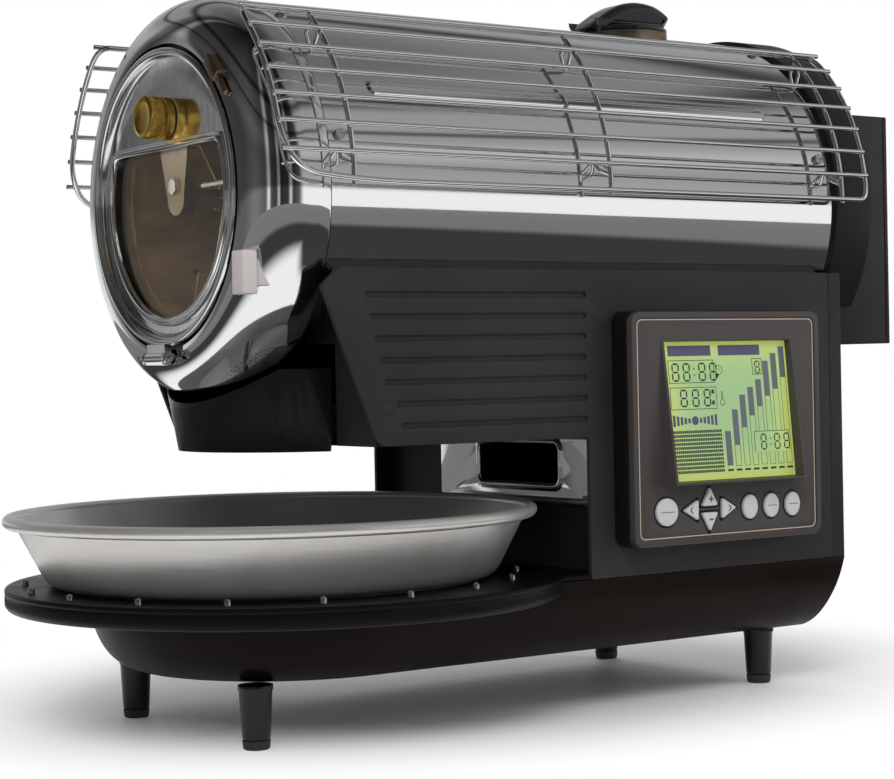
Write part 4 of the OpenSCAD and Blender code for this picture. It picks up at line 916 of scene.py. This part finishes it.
def bar_glyph(x, z, half_w, half_h):
    """A plain bar about a middle."""
    return rectangle(x - half_w, z - half_h, x + half_w, z + half_h)


def key_glyph(name):
    """Plus, minus, an angle that points left or right, or a plain bar across a key."""
    x, z = KEYS[name]
    if name == "up":
        arm, half = 1.5, 0.35
        quarter = np.array([(arm, -half), (arm, half), (half, half)])
        return np.concatenate([spun(quarter, 90 * k) for k in range(4)]) + (x + 0.4, z - 0.5)
    if name == "down":
        return bar_glyph(x + 0.4, z + 0.4, 1.2, 0.4)
    if name in ARROWS:
        way = 1 if name == "right" else -1
        angle = np.array([(-0.9, -1.5), (-0.3, -1.7), (1.3, 0), (-0.3, 1.7), (-0.9, 1.5), (0.4, 0)])
        return angle * (way, 1) + (x + way * 0.8, z)
    return bar_glyph(x, z, 4.4 if name == "power" else 3.0, 0.16)


def keys():
    """Each key is a thick plate with rounded edges on its own body, with its mark on top."""
    sunk = 0.5
    for name in KEYS:
        cap = on_side(plate([key_outline(name)], KEY_TOP - CTRL_Y + sunk, 0.7, (), 4), -CTRL_Y + sunk)
        piece("key_" + name, [cap], KEY_GREY, "btn_" + name)
        if name != "enter":
            mark = on_side(plate([key_glyph(name)], 0.05), -KEY_TOP + 0.02)
            piece("mark_" + name, [mark], INK, "btn_" + name, stands_for=False)


# ---- display: u and v are shares across and down it, from its upper left corner ----
LCD_X0, LCD_X1 = 39.2, 121.5
LCD_LOW = np.array([0.0, -PANEL_Y - 3.2, 111.1])
LCD_HIGH = np.array([0.0, -CTRL_Y + 0.3, 178.5])
LCD_W, LCD_H = LCD_X1 - LCD_X0, float(np.linalg.norm(LCD_HIGH - LCD_LOW))
LCD_UP = (LCD_HIGH - LCD_LOW) / LCD_H
LCD_OUT = np.cross((1, 0, 0), LCD_UP)
# rows of figures: u, v, pitch, width, height and pattern; and the frames round them: u0, v0, u1, v1
FIGURES = ((0.075, 0.155, 0.086, 4.7, 9.0, "88:88"), (0.125, 0.345, 0.092, 4.6, 8.6, "888"),
           (0.735, 0.148, 0.09, 3.6, 6.4, "8"))
FIGURE_FRAMES = ((0.05, 0.135, 0.405, 0.30), (0.05, 0.33, 0.41, 0.49), (0.715, 0.13, 0.795, 0.25))
# rising bars: v of each bar's top and of the lower end of its filled part
BAR_TOPS = (0.655, 0.50, 0.395, 0.34, 0.285, 0.15, 0.095, 0.045)
BAR_ENDS = (0.905, 0.755, 0.63, 0.545, 0.48, 0.405, 0.355, 0.27)
BAR_U, BAR_PITCH, BAR_WIDTH = 0.453, 0.0693, 0.046
FAN_U, FAN_V = 0.2275, 0.57


def on_display(surface, height):
    """A surface drawn over the display, from its lower left corner, laid at a height above its glass."""
    return moved(surface, LCD_LOW + (LCD_X0, 0, 0) + LCD_OUT * height, (1, 0, 0), LCD_UP, LCD_OUT)


def spot(u, v):
    """The place in millimetres of two shares."""
    return u * LCD_W, (1 - v) * LCD_H


def cell(u0, v0, u1, v1):
    """A rectangle between two places on the display."""
    return rectangle(*spot(u0, v1), *spot(u1, v0))


def frame_line(box, width=0.3):
    """The outer and the inner outline of a thin rectangular frame."""
    outer = cell(*box)
    return outer, outer + np.array([[1, 1], [-1, 1], [-1, -1], [1, -1]]) * width


def digit(u, v, width, height):
    """Seven mitred bars of a figure eight, from its upper left corner."""
    x, y = spot(u, v)
    y -= height
    t, gap = 0.19 * width, 0.05 * width
    flat = np.array([[t / 2 + gap, 0], [t + gap, t / 2], [width - t - gap, t / 2],
                     [width - t / 2 - gap, 0], [width - t - gap, -t / 2], [t + gap, -t / 2]])
    half = height / 2 - t / 4
    tall = np.array([[0, gap + t / 2], [t / 2, gap + t], [t / 2, half - t / 2 - gap], [0, half - gap],
                     [-t / 2, half - t / 2 - gap], [-t / 2, gap + t]])
    bars = [flat + (x, y + h) for h in (t / 2, height / 2, height - t / 2)]
    return bars + [tall + (x + w, y + h) for w in (t / 2, width - t / 2) for h in (0, height / 2 - t / 4)]


def number(u, v, pitch, width, height, pattern):
    """A row of figures; a colon in the pattern is two square dots."""
    shapes = []
    for mark in pattern:
        if mark == ":":
            x, y = spot(u, v)
            shapes += [bar_glyph(x + 0.2, y - height * share, 0.4, 0.4) for share in (0.32, 0.68)]
            u += 0.42 * pitch
        else:
            shapes += digit(u, v, width, height)
            u += pitch
    return shapes


def display_look():
    """Lit display: green in the middle, yellower towards its edges, as the fourth power of the distance."""
    made = look("display", (0.45, 0.68, 0.20), 0.3)
    tree = made.node_tree
    x, _, z = axes(tree, object_place(tree))
    spans = []
    for value, start, length in ((x, LCD_X0, LCD_W), (z, LCD_LOW[2], LCD_H)):
        share = spread(tree, value, start * MM, (start + length) * MM, -1.0, 1.0)
        spans.append(maths(tree, "POWER", maths(tree, "ABSOLUTE", share), 4.0))
    green = mixed(tree, maths(tree, "MAXIMUM", *spans), (0.235, 0.365, 0.17), (0.43, 0.50, 0.115))
    fill(tree, tree.nodes["Principled BSDF"], Base_Color=green, Emission_Color=green, Emission_Strength=0.45)
    return made


def display():
    """Leaning lit slab with dark marks: figures, frames, rising bars, a block of dots and fan bars."""
    thick, thin, lift = 1.6, 0.05, 0.01
    green = display_look()
    slab = on_display(plate([cell(0, 0, 1, 1)], thick, 0.1), -thick)
    piece("display_slab", [slab], green, "lcd_module")
    frames = [frame_line(box) for box in FIGURE_FRAMES]
    frames += [frame_line((BAR_U + BAR_PITCH * k, BAR_ENDS[k], BAR_U + BAR_PITCH * k + BAR_WIDTH, 0.91), 0.22)
               for k in range(1, len(BAR_ENDS))]
    shapes, holes = (list(outlines) for outlines in zip(*frames))
    # clock and thermometer: place, radius, and the rise and half sizes of the bar in or on the circle
    for u, v, radius, rise, half_w, half_h in ((0.445, 0.21, 2.3, 0.6, 0.14, 0.7),
                                               (0.455, 0.445, 1.6, 3.6, 0.3, 1.9)):
        x, y = spot(u, v)
        shapes += [circle(x, y, radius, 24), bar_glyph(x, y + rise, half_w, half_h)]
        holes.append(circle(x, y, radius - 0.28, 24))
    for row in FIGURES:
        shapes += number(*row)
    shapes += [cell(0.372, v, 0.392, v + 0.03) for v in (0.35, 0.43)]
    # block of dots
    rows, cols = 11, 26
    for row in range(rows):
        for col in range(cols):
            u, v = 0.05 + col * 0.38 / cols, 0.64 + row * 0.315 / rows
            shapes.append(cell(u, v, u + 0.0115, v + 0.0195))
    # the bars' filled parts, with a dash under each
    dark, grey = [cell(0.055, 0.03, 0.39, 0.105), cell(0.45, 0.03, 0.785, 0.105)], []
    for k, (top, end) in enumerate(zip(BAR_TOPS, BAR_ENDS)):
        u = BAR_U + BAR_PITCH * k
        shapes.append(cell(u, 0.93, u + BAR_WIDTH, 0.945))
        grey.append(cell(u, top, u + BAR_WIDTH, end))
    # fan bars, taller towards both ends, with a disc between them
    for side in (-1, 1):
        for k in range(5):
            u, half = FAN_U + side * (0.045 + 0.0295 * k), 0.017 + 0.0058 * k
            dark.append(cell(u - 0.0095, FAN_V - half, u + 0.0095, FAN_V + half))
    dark.append(circle(*spot(FAN_U, FAN_V), 2.2, 24))
    # box of figures in front of the bars
    box = (0.685, 0.665, 0.97, 0.82)
    outer, inner = frame_line(box)
    front = [outer] + number(0.735, 0.685, 0.078, 4.0, 8.0, "8:88")
    for name, outlines, thickness, cuts, height, finish in (
            ("display_marks", shapes, thin, holes, lift, INK),
            ("display_bars", dark, 0.06, (), lift, BAR_INK),
            ("rising_bars", grey, 0.06, (), lift, BAR_GREY),
            ("display_box", [cell(*box)], thin, (), thin, green),
            ("display_box_marks", front, thin, [inner], 0.09, INK)):
        film = on_display(plate(outlines, thickness, 0.0, cuts), height)
        piece(name, [film], finish, "lcd_module", stands_for=False)


# ---- cooling tray ----
def tray():
    """Perforated floor, a wall turned from its section, and a rolled rim."""
    rim_r, floor_r, hub_r = 2.9, 101, 10.5
    in_r, wall_h = TRAY_R - 2 * rim_r, TRAY_TOP - rim_r - TRAY_Z
    holes = [circle(TRAY_X, 0, 10.3, 40)]
    for k in range(4):
        number_round, ring_r = 12 + 6 * k, 22 + 11 * k
        for i in range(number_round):
            a = math.radians(i * 360 / number_round + 7 * k)
            holes.append(circle(TRAY_X + ring_r * math.cos(a), ring_r * math.sin(a), 2.0, 16))
    floor = moved(plate([circle(TRAY_X, 0, floor_r + 0.2, 160)], 1.0, 0.0, holes), (0, 0, TRAY_Z))
    outside = eased([[floor_r, 0], [105.5, 1.2], [108.5, 4.5], [in_r + 0.8, wall_h - 0.4]], 2.4)
    inside = eased([[in_r - 0.2, wall_h + 0.2], [107.4, 5], [104.8, 2.1], [floor_r, 1]], 2.4)
    rim = circle(TRAY_R - rim_r, wall_h, rim_r, 20)
    collar = [[8.1, 0], [hub_r, 0], [hub_r, 4.7], [hub_r - 0.3, 5], [8.1, 5]]
    turned = [turned_z(closed(np.add(profile, (0, TRAY_Z))), TRAY_X, steps=steps)
              for profile, steps in ((np.concatenate([outside, inside]), 224), (rim, 224), (collar, 64))]
    piece("tray_bowl", [floor] + turned, TRAY_STEEL, "cooling_tray", crease=45)


# ---- chute cover ----
def chute_cover():
    """Round flange and plug, and an arched fin with rounded edges to lift it by."""
    top, fin_width = AXIS_Z + SHROUD_R + 1.4, 22
    flange = eased([[0, 0.3], [24.6, 0.3], [25, 0.8], [25, 1.9], [24.4, 2.5], [0, 2.5]], 0.3, 2)
    plug = np.array([[0, -5], [18, -5], [18.5, -4.5], [18.5, 0.4], [0, 0.4]])
    arch = eased([[-27.5, 1.5], [-24, 5], [-13.7, 11.8], [-5, 15.9], [3.8, 17.5], [11, 17.4], [19.5, 16.0],
                  [28.4, 10.7], [22.4, 1.5]], [1, 2, 5, 4, 3, 3, 6, 3, 1], 6, closed=True)
    fin = on_side(plate([arch + (CHUTE_X, top)], fin_width, 5.0, (), 7), fin_width / 2)
    turned = [turned_z(profile + (0, top), CHUTE_X, steps=steps)
              for profile, steps in ((flange, 96), (plug, 72))]
    piece("chute_lid", turned + [fin], GLOSS_BLACK, "chute_cover", crease=40)


# ---- pieces kept from the frame ----
def kept_pieces():
    """Rounded copies of the hard housings, and a finish for every CAD node that shows as it is."""
    for node, finish, width in (
            ("control_box", PANEL_BLACK, 1.0), ("rear_cap", CAP_BLACK, 0.8), ("filter_box", BODY_BLACK, 1.6),
            ("filter_cover", BODY_BLACK, 0.8), ("rear_panel", BODY_BLACK, 0.8),
            ("power_inlet", PANEL_BLACK, 0.5), ("chaff_tray", SCOOP_BLACK, 0.4), ("stir_arm", STEEL, 0.5),
            ("body_screws", STEEL, 0.3), ("front_fascia", BODY_BLACK, 0.5),
            ("front_bearing_bracket", DULL_STEEL, 0.3), ("temperature_probe", STEEL, 0.2),
            ("bean_chute", DULL_STEEL, 0.2)):
        softened(node, finish, width)
    shown = {"chassis": CHASSIS, "drum_chamber": DULL_STEEL, "chamber_bulkhead": DULL_STEEL,
             "heating_element": ELEMENT, "drive_motor": MOTOR, "rear_filter": FILTER, "stir_motor": MOTOR,
             "drum": DRUM_STEEL, "drum_vanes": DRUM_STEEL, "drum_shaft": STEEL, "drum_gear": BRASS,
             "motor_pinion": BRASS, "stir_spindle": STEEL, "cooling_fan": FAN, "exhaust_fan": FAN,
             "control_board": BOARD}
    for node, finish in shown.items():
        NODES[node].data.materials.clear()
        NODES[node].data.materials.append(finish)


# ---- studio, in metres ----
WHITE = (1, 1, 1, 1)
AMBIENT = 0.5
FLOOR_MIDDLE, FLOOR_HALVES = (0.03, 0.06, 0), (0.36, 0.28, 1)  # ellipse by which the floor fades
# the tent only shows in mirrors: its levels by height and by direction are painted reflections in the chrome
TENT_TOP = 3.4
TENT_PROFILE = [[2.5, -0.02], [2.5, 1.6], [2.2, 2.5], [1.5, 3.1], [0.7, 3.35], [0.01, TENT_TOP]]
TENT_HEIGHTS = ((0.0, 1.0), (0.33, 1.0), (0.44, 0.42), (0.90, 0.36), (1.25, 0.52), (1.62, 0.34),
                (1.70, 0.10), (1.80, 0.36), (2.15, 0.34), (2.46, 0.06), (2.62, 0.24), (3.0, 0.16),
                (TENT_TOP, 0.05))
TENT_AROUND = ((-180, 0.2), (-158, 0.12), (-151, 0.8), (-146, 0.08), (-136, 0.05), (-130, 0.5),
               (-127, 0.03), (-112, 0.04), (-106, 0.6), (-101, 0.05), (-90, 0.10), (-76, 1.0), (60, 1.0),
               (108, 0.8), (116, 0.25), (119.5, 0.12), (123, 0.7), (127, 0.12), (150, 0.12), (180, 0.2))
SHEET_END = 2.6


def seen_rays(tree):
    """1 for the rays that see, mirror or look through glass, 0 for those that light."""
    rays = tree.nodes.new("ShaderNodeLightPath").outputs
    mirrored_or_seen = maths(tree, "MAXIMUM", rays["Is Camera Ray"], rays["Is Glossy Ray"])
    return maths(tree, "MAXIMUM", mirrored_or_seen, rays["Is Transmission Ray"])


def world():
    """White where it is seen, mirrored or looked at through glass, and a plain level where it lights."""
    made = bpy.data.worlds.new("studio")
    made.use_nodes = True
    bpy.context.scene.world = made
    tree = made.node_tree
    level = spread(tree, seen_rays(tree), 0.0, 1.0, AMBIENT, 1.0)
    fill(tree, tree.nodes["Background"], Color=WHITE, Strength=level)


def stage_mesh(name, surface, material):
    """A mesh that isn't part of the object, given in metres."""
    obj = mesh_object(name, [surface], 1.0)
    obj.data.materials.append(material)
    return obj


def surface_output(tree):
    """The socket that takes a material's shader."""
    return tree.nodes["Material Output"].inputs["Surface"]


def floor():
    """Pale floor that keeps the shadow near the machine and fades to the white background further out."""
    made, tree, shader = new_material("floor")
    fill(tree, shader, Base_Color=(0.86, 0.86, 0.86, 1), Roughness=0.55)
    away = add(tree, "VectorMath", object_place(tree), FLOOR_MIDDLE, operation="SUBTRACT")
    shares = add(tree, "VectorMath", away, FLOOR_HALVES, operation="DIVIDE")
    reach = add(tree, "VectorMath", shares, operation="LENGTH").node.outputs["Value"]
    fade = add(tree, "MapRange", Value=reach, From_Min=0.45, From_Max=0.95, interpolation_type="SMOOTHSTEP")
    share = maths(tree, "MULTIPLY", fade, seen_rays(tree))
    white = add(tree, "Emission", Color=WHITE, Strength=1.0)
    tree.links.new(add(tree, "MixShader", share, shader.outputs[0], white), surface_output(tree))
    size = 9.0
    corners = np.array([[x, y, 0] for x, y in rectangle(-size, -size, size, size)])
    stage_mesh("floor", (corners, [[0, 1, 2, 3]]), made)


def reflection(name, surface, paint):
    """A stage piece that shows in mirrors and nowhere else; paint gives its shader from its tree."""
    made, tree, shader = new_material(name)
    tree.nodes.remove(shader)
    tree.links.new(paint(tree), surface_output(tree))
    obj = stage_mesh(name, surface, made)
    for ray in ("camera", "diffuse", "transmission", "shadow", "volume_scatter"):
        setattr(obj, "visible_" + ray, False)


def azimuth(tree, place):
    """The direction of a place about the origin, in degrees from +X."""
    x, y, _ = axes(tree, place)
    return maths(tree, "DEGREES", maths(tree, "ARCTAN2", y, x))


def painted_reflection_tent(tree):
    """Painted reflections, which only mirrors show: a bright band at the horizon and grey flats above it,
    darker behind the camera, at -126 degrees.
    """
    place = object_place(tree)
    up = levels_along(tree, axes(tree, place)[2], 0, TENT_TOP, TENT_HEIGHTS)
    flats = levels_along(tree, azimuth(tree, place), -180, 180, TENT_AROUND)
    return add(tree, "Emission", Color=add(tree, "VectorMath", up, flats, operation="MULTIPLY"), Strength=1.0)


def painted_dark_reflection(tree):
    """Painted shade in reflections, on a sheet that only mirrors show: dark near the machine's right side and
    grey further out, and clear near it on the other sides.
    """
    place = object_place(tree)
    reach = add(tree, "VectorMath", place, operation="LENGTH").node.outputs["Value"]
    level, near, far = (levels_along(tree, reach, 0, SHEET_END, stops) for stops in (
        ((0, 0.05), (0.82, 0.045), (1.0, 0.2), (SHEET_END, 0.22)),
        ((0, 0), (0.24, 0), (0.34, 1), (SHEET_END, 1)), ((0, 0), (0.40, 0), (0.58, 1), (SHEET_END, 1))))
    side = levels_along(tree, azimuth(tree, place), -180, 180, ((-104, 0), (-84, 1), (0, 1), (25, 0)))
    cover = maths(tree, "MAXIMUM", maths(tree, "MULTIPLY", near, side), far)
    clear, glow = add(tree, "BsdfTransparent"), add(tree, "Emission", Color=level, Strength=1.0)
    return add(tree, "MixShader", cover, clear, glow)


def painted_highlight_box(tree):
    """A plain bright level: a painted highlight that only mirrors show."""
    return add(tree, "Emission", Color=WHITE, Strength=0.9)


def reflections():
    """Painted reflections that only mirrors show: studio walls, a floor sheet, and a soft box over the front
    left whose painted highlight brightens the tray's inside.
    """
    reflection("tent", turned_z(TENT_PROFILE, steps=96), painted_reflection_tent)
    reflection("dark_reflection_sheet", turned_z([[0.2, 0.004], [2.48, 0.004]], steps=96), painted_dark_reflection)
    box = turned_z([[0.9, 3.3], [2.3, 3.3]], start=-165, end=-85, steps=17)
    reflection("overhead", box, painted_highlight_box)


def place_axes(obj, right, up, back, origin):
    """Lays an object's own axes along right, up and back from origin."""
    turn = np.eye(4)
    turn[:3] = np.stack([right, up, back, origin], 1)
    obj.matrix_world = Matrix(turn.tolist())


def lamp(name, place, aim, size, power):
    """A soft square light at a place, turned towards another, which no mirror shows."""
    data = bpy.data.lights.new(name, "AREA")
    data.shape = "SQUARE"
    data.size = size
    data.energy = power
    obj = linked(name, data)
    away = np.subtract(place, aim)
    away = away / np.linalg.norm(away)
    side = np.cross((0, 0, 1), away)
    side = side / np.linalg.norm(side)
    place_axes(obj, side, np.cross(away, side), away, place)
    obj.visible_glossy = False


def camera():
    """Camera where the photograph was taken from, with its angles and lens."""
    photo_width, focal_pixels, sensor = 894, 2142.6, 36
    place = (-0.6359, -0.8894, 0.1695)
    yaw, pitch, roll = (math.radians(v) for v in (35.04, 0.66, -1.14))
    forward = np.array([math.sin(yaw) * math.cos(pitch), math.cos(yaw) * math.cos(pitch), -math.sin(pitch)])
    level = np.array([math.cos(yaw), -math.sin(yaw), 0.0])
    above = np.cross(level, forward)
    right = math.cos(roll) * level + math.sin(roll) * above
    up = math.cos(roll) * above - math.sin(roll) * level
    data = bpy.data.cameras.new("camera")
    data.sensor_width = sensor
    data.lens = focal_pixels / photo_width * sensor
    obj = linked("camera", data)
    place_axes(obj, right, up, -forward, place)
    bpy.context.scene.camera = obj


def studio():
    """Camera, world, floor, reflections and three soft lamps."""
    bpy.context.scene.view_settings.view_transform = "Standard"
    camera()
    world()
    floor()
    reflections()
    lamp("key", (-1.3, -1.6, 1.9), (0, 0, 0.15), 1.1, 34)
    lamp("fill", (1.6, -1.7, 0.9), (0, 0, 0.15), 1.2, 8)
    lamp("rim", (0.9, 1.9, 1.6), (0, 0, 0.2), 0.9, 14)


for make in (shroud, hood, door, knob, door_fittings, guards, pan, deck, studs, feet, skins, column_front,
             control_face, keys, display, tray, chute_cover, kept_pieces, studio):
    make()
